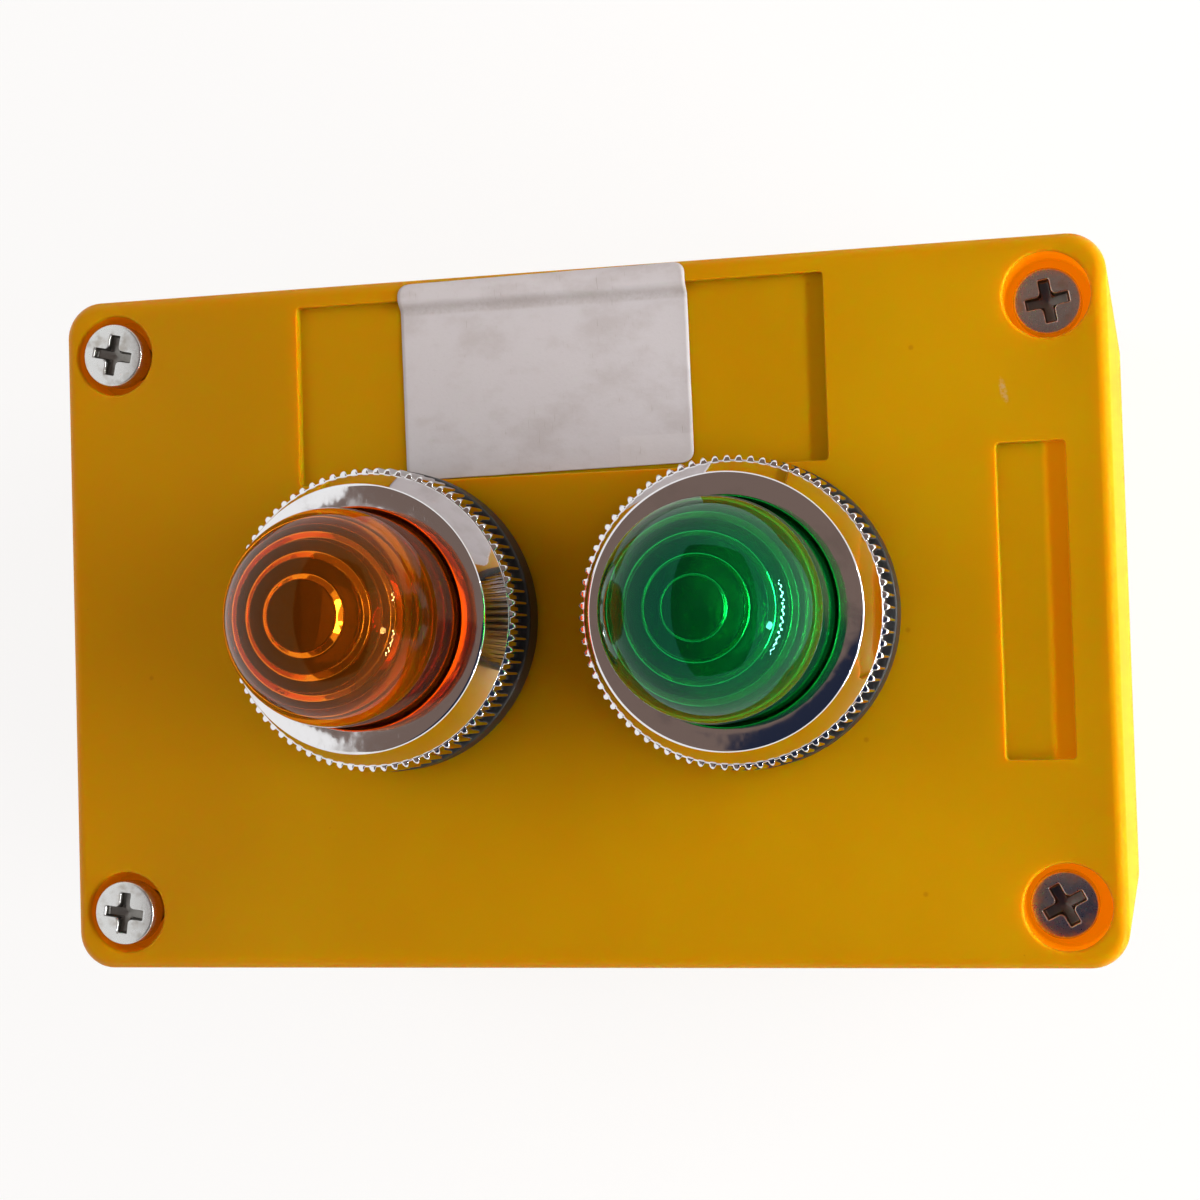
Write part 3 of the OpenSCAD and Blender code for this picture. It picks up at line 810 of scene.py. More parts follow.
@dataclass(frozen=True)
class Chrome(Finish):
    """Bright plating with a faint waviness, smudges and a few hairline scratches."""

    slot: str = "bezel_chrome"
    colour: Colour = (0.80, 0.79, 0.80)

    def paint(self, board: Board) -> bpy.types.Material:
        """Lets smudges and scratches change roughness, and waves bend the reflections.

        Args:
            board: board that takes the nodes.

        Returns:
            The material.
        """
        waves = board.noise(2.6, 2, 0.45)
        smudge = board.noise(4.2, 4, 0.6).rise(0.5, 0.72)
        hair = board.noise(0.35, 2, 0.5, (7, 0.3, 1), 35).rise(0.70, 0.78)
        colour = board.mix(smudge * 0.35, self.colour, (0.60, 0.58, 0.57))
        return board.surface(
            base_color=colour, metallic=1.0, roughness=0.045 + smudge * 0.10 + hair * 0.06,
            normal=board.bump(waves - hair * 0.03, 0.016))


@dataclass(frozen=True)
class LensPlastic(Finish):
    """Clear tinted acrylic, polished outside, with faint moulding waves."""

    tint: Colour
    depth: Colour
    shine: Colour
    density: float
    clear: float

    def paint(self, board: Board) -> bpy.types.Material:
        """Transmits light with a tint at the surface and absorbs more of it inside.

        Args:
            board: board that takes the nodes.

        Returns:
            The material.
        """
        waves = board.noise(5, 2, 0.5)
        dust = board.cells(1.1).rise(0.05, 0.02) * board.noise(6, 1).rise(0.6, 0.7)
        links = {"Color": (*self.depth, 1), "Density": self.density}
        fog = board.add("ShaderNodeVolumeAbsorption", {}, links)
        return board.surface(
            fog, base_color=self.tint, roughness=0.02 + dust * 0.3, ior=1.45, transmission_weight=self.clear,
            specular_tint=self.shine, normal=board.bump(waves, 0.010))


@dataclass(frozen=True)
class BulbGlass(Finish):
    """Clear blown glass with slight streaks."""

    slot: str = "bulb_glass"

    def paint(self, board: Board) -> bpy.types.Material:
        """Transmits light, with a weak streaky relief."""
        streaks = board.noise(1.5, 1, 0.5, (1, 1, 0.2))
        return board.surface(
            base_color=(0.96, 0.98, 0.98), roughness=0.01 + streaks * 0.02, ior=1.45,
            transmission_weight=1.0, normal=board.bump(streaks, 0.006))


@dataclass(frozen=True)
class Metal(Finish):
    """Turned or stamped metal with stains, a brushed grain and uneven shine."""

    slot: str = "zinc_steel"
    colour: Colour = (0.66, 0.66, 0.65)
    stain: Colour = (0.40, 0.36, 0.30)
    roughness: float = 0.24
    relief: float = 0.004

    def with_painted_shade(self, board: Board, grain: Shade, colour: Shade, roughness: Shade) -> tuple[Shade, Shade]:
        """Colour and roughness with painted shade added, here none."""
        return colour, roughness

    def paint(self, board: Board) -> bpy.types.Material:
        """Stains change the colour, and grain and stains change roughness and relief.

        Args:
            board: board that takes the nodes.

        Returns:
            The material.
        """
        stains = board.noise(1.6, 4, 0.6).rise(0.48, 0.72)
        grain = board.noise(0.22, 3, 0.6, (1, 1, 3))
        colour, roughness = self.with_painted_shade(
            board, grain, board.mix(stains * 0.6, self.colour, self.stain),
            self.roughness + stains * 0.16 + grain * 0.08)
        return board.surface(
            base_color=colour, metallic=1.0, roughness=roughness, normal=board.bump(grain, self.relief))


@dataclass(frozen=True)
class ScrewSteel(Metal):
    """Zinc-plated steel of the cover screws, with painted shade in their crosses.

    Pairs of places are those between which the painted shade goes from 0 to 1, in millimetres.
    """

    # Colour of the painted shade in the crosses
    darkening: Colour = (0.15, 0.135, 0.115)
    right_top: float = 67.3
    left_rise: float = 3.45
    reach: tuple[float, float] = (2.75, 2.6)
    start: tuple[float, float] = (0.15, 0.45)
    end: tuple[float, float] = (2.2, 1.9)

    def label(self) -> str:
        """Name of the material."""
        return "cover_screw_finish"

    def with_painted_shade(self, board: Board, grain: Shade, colour: Shade, roughness: Shade) -> tuple[Shade, Shade]:
        """Paints shade into the crosses and dulls them, below the heads' tops and near the screws' axes.

        The distance to an axis is that of (|x| - SCREW_X, |y| - SCREW_Y). The heads' tops
        are higher on the left.

        Args:
            board: board of the material.
            grain: grain that breaks up the painted shade.
            colour: colour of the metal without the painted shade.
            roughness: its roughness.

        Returns:
            Colour and roughness.
        """
        # Painted shade in the crosses, darker with depth below the heads' tops
        away = ((abs(board.x) - SCREW_X * MM) ** 2 + (abs(board.y) - SCREW_Y * MM) ** 2) ** 0.5
        depth = board.x.step(10, -10) * (self.left_rise * MM) + self.right_top * MM - board.z
        cross = away.step(*self.reach) * depth.step(*self.start) * depth.step(*self.end)
        return board.mix(cross * (0.9 - grain * 0.2), colour, self.darkening), roughness + cross * 0.12


@dataclass(frozen=True)
class Brass(Metal):
    """Brass with darker tarnish."""

    slot: str = "brass"
    colour: Colour = (0.70, 0.50, 0.20)
    stain: Colour = (0.42, 0.25, 0.08)
    roughness: float = 0.26


@dataclass(frozen=True)
class Rubber(Finish):
    """Black rubber with a dull bloom and mould grain."""

    slot: str = "seal_rubber"

    def paint(self, board: Board) -> bpy.types.Material:
        """Greys the rubber where the bloom is strong.

        Args:
            board: board that takes the nodes.

        Returns:
            The material.
        """
        bloom = board.noise(2.4, 4, 0.65)
        grain = board.noise(0.25, 2)
        return board.surface(
            base_color=board.mix(bloom.rise(0.4, 0.75), (0.014, 0.014, 0.015), (0.040, 0.040, 0.041)),
            roughness=0.62 + bloom * 0.2, normal=board.bump(grain, 0.02))


@dataclass(frozen=True)
class StickerPaper(Finish):
    """Greyish white coated paper, bare but for faint strokes, with smudges and a rubbed crease."""

    slot: str = "sticker_paper"
    paper: Colour = (0.55, 0.54, 0.58)
    smudged: Colour = (0.48, 0.46, 0.485)
    fibrous: Colour = (0.44, 0.425, 0.44)
    bright: Colour = (0.62, 0.61, 0.64)
    stroked: Colour = (0.27, 0.24, 0.23)
    creased: Colour = (0.34, 0.31, 0.31)

    def paint(self, board: Board) -> bpy.types.Material:
        """Adds fibres, smudges, a lighter corner, strokes and a crease where the sheet climbs.

        Args:
            board: board that takes the nodes.

        Returns:
            The material.
        """
        fibre = board.noise(0.4, 4, 0.65)
        smudge = board.noise(5.5, 4, 0.6, (1, 1.6, 1), 25)
        lines = board.noise(0.7, 2, 0.5, (6, 0.3, 1), 120).rise(0.66, 0.73) * smudge.rise(0.48, 0.6)
        corner = board.x.step(6.2, 6.4) * board.y.step(19.2, 19.0)
        crease = board.y.step(33.4, 33.8) * board.y.step(34.9, 34.4)
        colour = board.mix(smudge.rise(0.42, 0.72), self.paper, self.smudged)
        for mask, mark in ((fibre.rise(0.55, 0.8) * 0.4, self.fibrous), (corner * 0.4, self.bright),
                           (lines * 0.6, self.stroked), (crease * fibre * 0.7, self.creased)):
            colour = board.mix(mask, colour, mark)
        return board.surface(
            base_color=colour, roughness=0.44 + smudge * 0.16 + lines * 0.1, specular_ior_level=0.35,
            normal=board.bump(fibre * 0.5 + smudge - lines * 0.4, 0.03))


@dataclass
class CaseHalf:
    """Half of the case: a shell, solids that are joined to it and solids that are cut out."""

    length: float
    width: float
    _: KW_ONLY
    corner: float = 4.0
    wall: float = 3.0
    edge: float = 1.2
    rim: float = 0.25
    screw_in: tuple[float, float] = (6.05, 6.25)

    @property
    def around(self) -> Path:
        """Path of the case's outline, which lies at the corners' radius."""
        return Path.rectangle(0, 0, self.length, self.width, self.corner, 13)

    @property
    def screws(self) -> list[tuple[float, float]]:
        """Places of the four screws, inset from the ends and the sides."""
        x, y = self.length / 2 - self.screw_in[0], self.width / 2 - self.screw_in[1]
        return [(-x, -y), (-x, y), (x, -y), (x, y)]

    def shell(self) -> Skin:
        """Closed skin of the wall."""
        raise NotImplementedError

    def additions(self) -> list[Skin]:
        """Solids that are joined to the shell."""
        raise NotImplementedError

    def cuts(self) -> list[Skin]:
        """Solids that are cut out afterwards."""
        raise NotImplementedError

    def build(self, name: str, node: str) -> None:
        """Builds the half and dresses it.

        Args:
            name: name of the piece.
            node: the node that it stands for, and the body that it rides on.
        """
        piece = put(name, self.shell().mesh(name))
        carve(piece, Carve.JOIN, self.additions())
        carve(piece, Carve.CUT, self.cuts())
        finished(piece, CasePlastic(), node, [node])


@dataclass
class Cover(CaseHalf):
    """Front half of the case, with its wells, holes and recesses."""

    front: float
    joint: float
    face: float = 3.0
    rebate: float = 1.5
    rebate_h: float = 2.7
    overlap: float = 0.03
    recess_d: float = 1.0
    recess_rim: float = 0.16
    legend: tuple[float, float, float, float] = (-0.5, 25.3, 58.5, 19.8)
    strip: tuple[float, float, float, float] = (49.5, 0.0, 7.0, 32.5)
    recess_corner: float = 0.45
    hole_r: float = 12.9
    lamps: tuple[tuple[float, float], ...] = ((-19.0, 0.0), (19.7, 0.0))
    well_r: float = 4.8
    well_round: float = 0.35
    well_floor_r: float = 4.5
    well_d: float = 5.4
    seat_t: float = 3.0
    core_r: float = 3.4
    hole_screw_r: float = 2.3
    boss_wall: float = 1.4
    boss_skin: float = 0.3
    core_sides: int = 71

    @property
    def pit_r(self) -> float:
        """Radius of a well below its round rim."""
        return self.well_r - self.well_round

    def shell(self) -> Skin:
        """Outer and inner surface in one profile, flat faces filled between their outlines.

        Returns:
            The closed skin.
        """
        c, z, around = self.corner, self.front, self.around
        ceiling = z - self.face
        top = points((c - self.edge - self.overlap, z))
        outer = arc((c - self.edge, z - self.edge), self.edge, 90, 0, 11)
        inner_r = c - self.wall
        rest = soften(points(
            (c, z - self.edge), (c, self.joint), (c - self.rebate, self.joint),
            (c - self.rebate, self.joint + self.rebate_h), (inner_r, self.joint + self.rebate_h),
            (inner_r, ceiling), (0.2, ceiling)), np.array([0, self.rim, 0.15, 0.2, 0.15, 0.5, 0]))
        skin = Skin().grid(around.carry(np.concatenate([top, outer, rest[1:]])))
        holes, ceiling_holes = [], []
        for x, y in self.screws:
            well = Path.circle(x, y, 72)
            profile = np.concatenate([
                arc((self.well_r, z - self.well_round), self.well_round, 90, 180, 6),
                points((self.pit_r - 0.01, z - 0.4), (self.pit_r - 0.02, z - 0.55 * self.face))])
            skin.grid(well.carry(profile)).fill(profile[-1, 1], well.at(profile[-1, 0]))
            holes.append(well.at(self.well_r))
        for x, y in self.lamps:
            hole = Path.circle(x, y, 96)
            skin.grid(hole.carry(points((self.hole_r, z), (self.hole_r, ceiling))))
            holes.append(hole.at(self.hole_r))
            ceiling_holes.append(hole.at(self.hole_r))
        for x, y, length, width in (self.legend, self.strip):
            recess = Path.rectangle(x, y, length, width, self.recess_corner, 7)
            line = points(
                (self.recess_corner + 0.4, z), (self.recess_corner, z),
                (self.recess_corner, z - self.recess_d), (0.1, z - self.recess_d))
            profile = soften(line, np.array([0, self.recess_rim, 0.14, 0]))
            skin.grid(recess.carry(profile)).fill(z - self.recess_d, recess.at(profile[-1, 0]))
            holes.append(recess.at(profile[0, 0]))
        skin.fill(z, around.at(top[0, 0]), *holes)
        return skin.fill(ceiling, around.at(rest[-1, 0]), *ceiling_holes)

    def additions(self) -> list[Skin]:
        """Round bosses behind the wells, cut flat a little inside the outer faces.

        Returns:
            The solids.
        """
        made = []
        limit = np.array([self.length / 2 - self.boss_skin, self.width / 2 - self.boss_skin])
        low, high = self.joint + 0.02, self.front - self.face / 2
        for x, y in self.screws:
            ring = np.clip(Path.circle(x, y, 72).at(self.well_r + self.boss_wall), -limit, limit)
            middle = np.broadcast_to([[x, y]], ring.shape)
            made.append(prism(Path(middle, ring - middle), 1.0, low, high))
        return made

    def cuts(self) -> list[Skin]:
        """Solids of the wells, screw holes and cores, which are cut out of the bosses.

        Their count of sides is prime, so that their corners don't fall on those of the wells.

        Returns:
            The solids.
        """
        seat, top = self.front - self.well_d, self.front - 0.42 * self.face
        low = seat - self.seat_t
        line = points(
            (0, self.joint - 1), (self.core_r, self.joint - 1), (self.core_r, low), (self.hole_screw_r, low),
            (self.hole_screw_r, seat), (self.well_floor_r, seat), (self.pit_r + 0.02, top), (0, top))
        profile = soften(line, np.array([0, 0, 0.1, 0.1, 0.1, 0.25, 0, 0]))
        return [turned(profile, x, y, self.core_sides) for x, y in self.screws]


@dataclass
class Base(CaseHalf):
    """Rear half of the case, with posts, lips, ribs and fixing holes."""

    joint: float = 33.9
    back: float = 3.0
    lip_t: float = 1.3
    lip_top: float = 36.5
    lip_end: float = 15.0
    post_r: float = 5.1
    insert_r: float = 3.05
    insert_l: float = 8.05
    core_r: float = 2.3
    core_z: float = 21.0
    fixing_x: float = 42.0
    fixing_r: float = 2.65
    ring_r: float = 5.5
    ring_h: float = 1.5
    rib_x: float = 20.0
    rib_w: float = 1.6
    entry_r: float = 10.0
    entry_z: float = 18.0

    def shell(self) -> Skin:
        """Outer and inner surface in one profile, closed by the back and its inside.

        Returns:
            The closed skin.
        """
        c, inner_r, around = self.corner, self.corner - self.wall, self.around
        start = points((c - self.edge - 0.3, 0))
        outer = arc((c - self.edge, self.edge), self.edge, -90, 0, 11)
        rest = soften(points(
            (c, self.edge), (c, self.joint), (inner_r, self.joint), (inner_r, self.back), (0.2, self.back)),
            np.array([0, self.rim, 0.15, 0.6, 0]))
        skin = Skin().grid(around.carry(np.concatenate([start, outer, rest[1:]])))
        return skin.fill(0, around.at(start[0, 0])).fill(self.back, around.at(rest[-1, 0]))

    def additions(self) -> list[Skin]:
        """Posts, rings, ribs and lips, each sunk into the shell that carries it.

        Returns:
            The solids.
        """
        low = self.back / 2
        made = [prism(Path.circle(x, y, 72), self.post_r, low, self.joint - 0.02, 0.2)
                for x, y in self.screws]
        for s in (-1, 1):
            ring = Path.circle(s * self.fixing_x, 0, 72)
            made.append(prism(ring, self.ring_r, low, self.back + self.ring_h, 0.3))
            rib = Path.rectangle(s * self.rib_x, 0, self.rib_w, self.width - self.wall, 0.3, 4)
            made.append(prism(rib, 0.3, low, self.back + self.ring_h - 0.02, 0.12))
            sunk = self.lip_t / 2 + 0.005 - self.wall
            end = Path.rectangle(
                s * (self.length / 2 + sunk), 0, self.lip_t, self.width - 2 * self.lip_end, 0.25, 4)
            side = Path.rectangle(
                0, s * (self.width / 2 + sunk), self.length - 2 * self.lip_end, self.lip_t, 0.25, 4)
            made += [prism(lip, 0.25, self.joint - 1, self.lip_top, 0.12) for lip in (end, side)]
        return made

    def cuts(self) -> list[Skin]:
        """Holes in the posts and in the back, and the cable entry.

        Returns:
            The solids of these holes.
        """
        seat = self.joint - self.insert_l + 0.05
        line = points(
            (0, self.core_z), (self.core_r, self.core_z), (self.core_r, seat), (self.insert_r, seat),
            (self.insert_r, self.joint + 1), (0, self.joint + 1))
        made = [turned(line, x, y, 48) for x, y in self.screws]
        flare, high = self.fixing_r + 0.35, self.back + self.ring_h + 1
        hole = points((0, -1), (flare, -1), (flare, 0.01), (self.fixing_r, 0.4), (self.fixing_r, high),
                      (0, high))
        made += [turned(hole, s * self.fixing_x, 0, 64) for s in (-1, 1)]
        deep = self.wall + 2
        entry = Path.circle().carry(points((0, 0), (self.entry_r, 0), (self.entry_r, deep), (0, deep)))
        lying = np.stack(
            [-self.length / 2 - 1 + entry[..., 2], entry[..., 0], self.entry_z + entry[..., 1]], axis=-1)
        return made + [Skin().grid(lying)]


@dataclass
class CoverScrews:
    """Four pan-head screws with a cross recess, each with its own turn and height."""

    places: list[tuple[float, float]]
    seat: float
    turns: tuple[float, ...] = (-8, -12, 28, 10)
    rises: tuple[float, ...] = (3.5, 3.4, 0.0, 0.0)
    shifts: tuple[tuple[float, float], ...] = ((0, 0), (0, 0), (-0.45, 0), (-0.05, -0.3))
    head_r: float = 3.5
    head_h: float = 2.7
    head_round: float = 0.25
    crown: float = 0.16
    crown_power: float = 2.4
    shank_r: float = 2.0
    length: float = 40.0
    thread_l: float = 26.0
    pitch: float = 0.7
    thread_d: float = 0.32
    tip_l: float = 0.8
    tip_d: float = 0.35
    arm: float = 0.53
    span: float = 2.2
    depth: float = 1.5
    fillet: float = 0.55
    side_w: float = 0.16
    end_w: float = 0.22
    end_fall: float = 0.38
    cone_r: float = 1.25
    cone_slope: float = 1.36
    cone_share: float = 0.92
    lines: int = 75
    shank_count: int = 48

    def head_top(self) -> np.ndarray:
        """Top of a head as a square grid drawn out to a disc.

        With a and b from -1 to 1 and m the larger of their sizes, a point moves from the
        square (a, b) to the circle as a smooth step of m. The height is a flat crown less
        the cross: two arms whose depth fades towards their ends, with round corners between
        them and a cone in the middle. With p and q the distances past an arm's side, the
        distance to the cross is the smaller of p and q, and near a corner f - |(f - p, f - q)|.

        Returns:
            Grid of points round the screw's axis, its rim at the head's radius.
        """
        line = np.linspace(-1, 1, self.lines)
        line = np.sign(line) * (0.55 * np.abs(line) + 0.45 * np.abs(line) ** 2)
        a, b = np.meshgrid(line, line, indexing="ij")
        most = np.maximum(np.abs(a), np.abs(b))
        size = np.maximum(np.hypot(a, b), 1e-9)
        blend = smooth_step((most - 0.55) / 0.45)
        scale = (1 - blend) + blend * most / size
        rim = self.head_r - self.head_round
        x, y = rim * a * scale, rim * b * scale
        away = np.hypot(x, y)
        crown = self.head_h - self.crown * (away / rim) ** self.crown_power
        p, q = np.abs(x) - self.arm, np.abs(y) - self.arm
        corner = self.fillet - np.hypot(self.fillet - p, self.fillet - q)
        near = (p > 0) & (q > 0) & (p < self.fillet) & (q < self.fillet)
        past = np.where(near, corner, np.minimum(p, q))
        side = smooth_step(0.5 - past / self.side_w)
        end = smooth_step((self.span - np.maximum(np.abs(x), np.abs(y))) / self.end_w + 0.5)
        fall = 1 - self.end_fall * np.clip(away / self.span, 0, 1)
        cone = smooth_step(self.cone_slope * np.clip(1 - away / self.cone_r, 0, 1)) * self.cone_share
        cross = np.maximum(side * end * fall, cone * side)
        return np.stack([x, y, crown - self.depth * cross], axis=-1)

    def one(self, x: float, y: float, turn: float, rise: float, skin: Skin) -> None:
        """Adds one screw to the skin, its head and its shank as two solids that overlap.

        The rim of the head's grid, walked once round, is the first row of the flank. The
        shank's radius is its nominal radius less the thread's depth times a triangle wave
        of height / pitch - angle / 360.

        Args:
            x: place along X.
            y: place along Y.
            turn: turn in degrees.
            rise: height above the seat.
            skin: skin that takes the screw.
        """
        top = self.head_top()
        n = self.lines - 1
        k = np.arange(n)
        rim_i = np.concatenate([k, np.full(n, n), n - k, np.zeros(n, int)])
        rim_j = np.concatenate([np.zeros(n, int), k, np.full(n, n), n - k])
        rim = top[rim_i, rim_j]
        out = rim[:, :2] / np.linalg.norm(rim[:, :2], axis=1)[:, None]
        flank = np.concatenate([
            arc((self.head_r - self.head_round, rim[0, 2] - self.head_round), self.head_round, 90, 0, 6),
            soften(points((self.head_r, 0.6), (self.head_r, 0), (self.shank_r, 0), (0, 0)), 0.12)[1:]])
        smooth_l = self.length - self.thread_l
        rows = np.concatenate(
            [[0.5], np.linspace(0, -smooth_l, 4), np.arange(-smooth_l, -self.length, -self.pitch / 5)])
        stem = Path.circle(count=self.shank_count).out
        angle = np.arctan2(stem[:, 1], stem[:, 0])
        phase = (rows[:, None] / self.pitch - angle[None] / (2 * np.pi)) % 1
        wave = np.clip(1.5 * np.abs(2 * phase - 1) - 0.2, 0, 1)
        fade = smooth_step((-smooth_l - rows) / self.pitch)[:, None]
        tip = smooth_step((rows + self.length) / self.tip_l)[:, None]
        shank = wrapped(
            self.shank_r - self.thread_d * fade * (1 - wave) - self.tip_d * (1 - tip), stem, rows)
        ends = np.zeros((2, 1) + shank.shape[1:])
        ends[0, ..., 2], ends[1, ..., 2] = rows[0], -self.length
        shank = np.concatenate([ends[0], shank, ends[1]])
        under = Path(np.zeros_like(out), out).carry(flank)
        c, s = math.cos(math.radians(turn)), math.sin(math.radians(turn))
        spin = np.array([[c, s, 0], [-s, c, 0], [0, 0, 1]])
        for grid, ring in ((top, False), (under, True), (shank, True)):
            skin.grid(grid @ spin + [x, y, self.seat + rise], ring)

    def build(self) -> None:
        """Builds the four screws as one piece."""
        skin = Skin()
        for (x, y), (dx, dy), turn, rise in zip(self.places, self.shifts, self.turns, self.rises):
            self.one(x + dx, y + dy, turn, rise, skin)
        piece = put("pan_head_screws", skin.mesh("pan_head_screws"))
        finished(piece, ScrewSteel(), "cover", ["cover_screws"])


@dataclass
class Sticker:
    """Paper sticker that lies in the wide recess and runs up over its edge."""

    front: float
    width_of_case: float
    x: float = -1.8
    length: float = 32.0
    low: float = 15.75
    high: float = 37.15
    rim: float = 35.2
    climb: float = 1.3
    recess_d: float = 1.0
    edge: float = 1.2
    turn: float = 0.8
    corner: float = 1.3
    thickness: float = 0.13
    lift: float = 0.02
    ripple: float = 0.035
    curl: float = 0.05

    def height(self, y: np.ndarray) -> np.ndarray:
        """Height over the case: recess floor, a smooth climb, the front, then the round edge.

        Args:
            y: places along Y.

        Returns:
            The heights.
        """
        floor = self.front - self.recess_d
        up = floor + self.recess_d * smooth_step((y - self.rim + self.climb) / self.climb)
        start = self.width_of_case / 2 - self.edge
        past = np.clip(y - start, 0, self.edge * 0.98)
        drop = self.edge - np.sqrt(self.edge ** 2 - past ** 2)
        return up - drop

    def sheet(self) -> np.ndarray:
        """Grid of the sheet seen from above.

        Each row keeps y, and its half length is that of a rectangle with round corners:
        length / 2 - (r - sqrt(r^2 - (r - d)^2)), where d is the distance to the nearer end.
        The sheet ripples slightly, and its right edge curls up.

        Returns:
            Grid of points on the surface of the case.
        """
        middle, half = (self.low + self.high) / 2, (self.high - self.low) / 2
        v = np.linspace(-1, 1, 121)
        v = np.sin(v * np.pi / 2) * 0.5 + v * 0.5
        row = v * half
        d = np.clip(half - np.abs(row), 0, self.corner)
        half_l = self.length / 2 - (self.corner - np.sqrt(self.corner ** 2 - (self.corner - d) ** 2))
        u = np.linspace(-1, 1, 81)
        x = half_l[:, None] * u[None]
        y = np.broadcast_to(row[:, None], x.shape)
        c, s = math.cos(math.radians(self.turn)), math.sin(math.radians(self.turn))
        px, py = self.x + x * c - y * s, middle + x * s + y * c
        wave = self.ripple * np.sin(px * 0.55 + 1) * np.sin(py * 0.8)
        wave = wave + self.curl * smooth_step((u[None] - 0.93) / 0.07)
        return np.stack([px, py, self.height(py) + self.lift + np.maximum(wave, 0)], axis=-1)

    def build(self) -> None:
        """Builds the sheet with its thickness and dresses it."""
        low = self.sheet()
        high = low + [0, 0, self.thickness]
        rim = [np.concatenate([g[0, :-1], g[:-1, -1], g[-1, :0:-1], g[:0:-1, 0]]) for g in (low, high)]
        skin = Skin().grid(high, ring=False).grid(low, ring=False).grid(np.stack(rim), shading=Shading.FLAT)
        finished(put("bare_sticker", skin.mesh("bare_sticker")), StickerPaper(), "cover", ["sticker"])


@dataclass
class PilotLamp:
    """One domed pilot lamp: body, rings, lens, bezel and the parts inside."""

    name: str
    x: float
    y: float
    front: float
    lens_finish: Finish
    steps: tuple[float, ...]
    draft: float
    tooth_turn: float = 0.0
    gasket_t: float = 0.8
    play: float = 0.08
    flange_r: float = 16.2
    flange_top: float = 4.2
    collar_r: float = 14.5
    collar_top: float = 8.2
    bore_r: float = 10.2
    barrel_r: float = 12.4
    barrel_l: float = 40.0
    pitch: float = 1.5
    thread_d: float = 0.45
    lens_z: float = 8.95
    lens_r: float = 11.1
    lens_flange_r: float = 13.7
    lens_flange_t: float = 1.5
    dome_z: float = 19.65
    sphere_r: float = 9.3
    bands: tuple[tuple[float, float], ...] = ((9.5, 19.65), (9.7, 16.08), (9.9, 12.52))
    bezel_z: float = 4.25
    skirt_h: float = 5.0
    tooth_count: int = 80
    tip_r: float = 16.1
    root_r: float = 15.5
    tooth_half: float = 0.3
    chamfer: float = 0.7
    cone_r: float = 15.3
    top_r: float = 14.05
    top_edge: float = 0.35
    top_h: float = 9.3
    opening_r: float = 11.45
    opening_edge: float = 0.25
    roof: float = 10.5
    nut_r: float = 15.4
    nut_top: float = -3.8
    nut_t: float = 5.0
    notch_out: float = 0.5
    notch_r: float = 1.4
    notches: int = 12
    bulb_r: float = 5.0
    bulb_wall: float = 0.5
    bulb_foot: float = 0.3
    bulb_top: float = 16.0

    def node(self, part: str) -> str:
        """Name of one of this lamp's nodes."""
        return f"{self.name}_{part}"

    def dress(self, part: str, skin: Skin, finish: Finish, body: str = "cover") -> None:
        """Moves a skin from the lamp's own axis to its place and makes it a dressed piece.

        Args:
            part: name of the part, in which the piece's and the node's names end.
            skin: its skin.
            finish: its finish.
            body: the body that it rides on.
        """
        skin.points = [p + [self.x, self.y, self.front] for p in skin.points]
        label = f"{self.name}_lamp_{part}"
        finished(put(label, skin.mesh(label)), finish, body, [self.node(part)])

    def threaded(self, profile: np.ndarray, spans: list[tuple[float, float, float]],
                 count: int = 96) -> np.ndarray:
        """Turns a profile round the axis and cuts threads into some of its heights.

        Within each span (low, high, radius) the radius of points on that radius is less by
        the thread's depth times a flattened triangle wave of height / pitch - angle / 360,
        which fades out over one pitch at both ends.

        Args:
            profile: (radius, height) pairs.
            spans: the threaded heights and their radii.
            count: points round the axis.

        Returns:
            Grid of points.
        """
        angle = np.linspace(0, 1, count, endpoint=False)
        radius = np.broadcast_to(profile[:, :1], (len(profile), count)).copy()
        for low, high, nominal in spans:
            z = profile[:, 1]
            on = (np.abs(profile[:, 0] - nominal) < 1e-6) & (z >= low) & (z <= high)
            phase = (z[:, None] / self.pitch - angle[None]) % 1
            wave = np.clip(1.5 * np.abs(2 * phase - 1) - 0.25, 0, 1)
            fade = smooth_step((z - low) / self.pitch) * smooth_step((high - z) / self.pitch)
            radius -= (on * fade)[:, None] * self.thread_d * (1 - wave)
        return wrapped(radius, Path.circle(count=count).out, profile[:, 1])

    def body(self) -> None:
        """Black moulded body: flange, threaded collar, bore and threaded barrel."""
        top, low, gap = self.collar_top, self.flange_top, self.pitch / 6
        wide, narrow, end = self.collar_r, self.barrel_r, -self.barrel_l
        collar = np.arange(top - 0.5, low + 0.3, -gap)
        barrel = np.arange(-1.2, end + 0.8, -gap)
        profile = np.concatenate([
            soften(points((wide - 1, top), (wide, top), (wide, top - 0.5)), 0.3)[1:-1],
            np.c_[np.full(len(collar), wide), collar],
            soften(points(
                (wide, low + 0.25), (wide, low), (self.flange_r, low), (self.flange_r, self.gasket_t),
                (narrow, self.gasket_t), (narrow, -1.0)), np.array([0, 0.1, 0.45, 0.25, 0.1, 0])),
            np.c_[np.full(len(barrel), narrow), barrel],
            soften(points(
                (narrow, end + 0.7), (narrow, end), (self.bore_r, end), (self.bore_r, top),
                (wide - 1, top)), np.array([0, 0.4, 0.3, 0.4, 0]))])
        profile = np.concatenate([profile, profile[:1]])
        spans = [(low + 0.3, top - 0.3, wide), (end + 1, -1.2, narrow)]
        self.dress("body", Skin().grid(self.threaded(profile, spans)), MouldedPlastic())

    def ring(self, part: str, inner: float, outer: float, low: float, high: float, finish: Finish) -> None:
        """Builds a flat ring with rounded edges.

        Args:
            part: name of the node that it stands for.
            inner: inner radius.
            outer: outer radius.
            low: lower height.
            high: upper height.
            finish: its finish.
        """
        line = points((inner, low), (outer, low), (outer, high), (inner, high))
        self.dress(part, turned(soften(line, 0.25 * (high - low), closed=True)), finish)

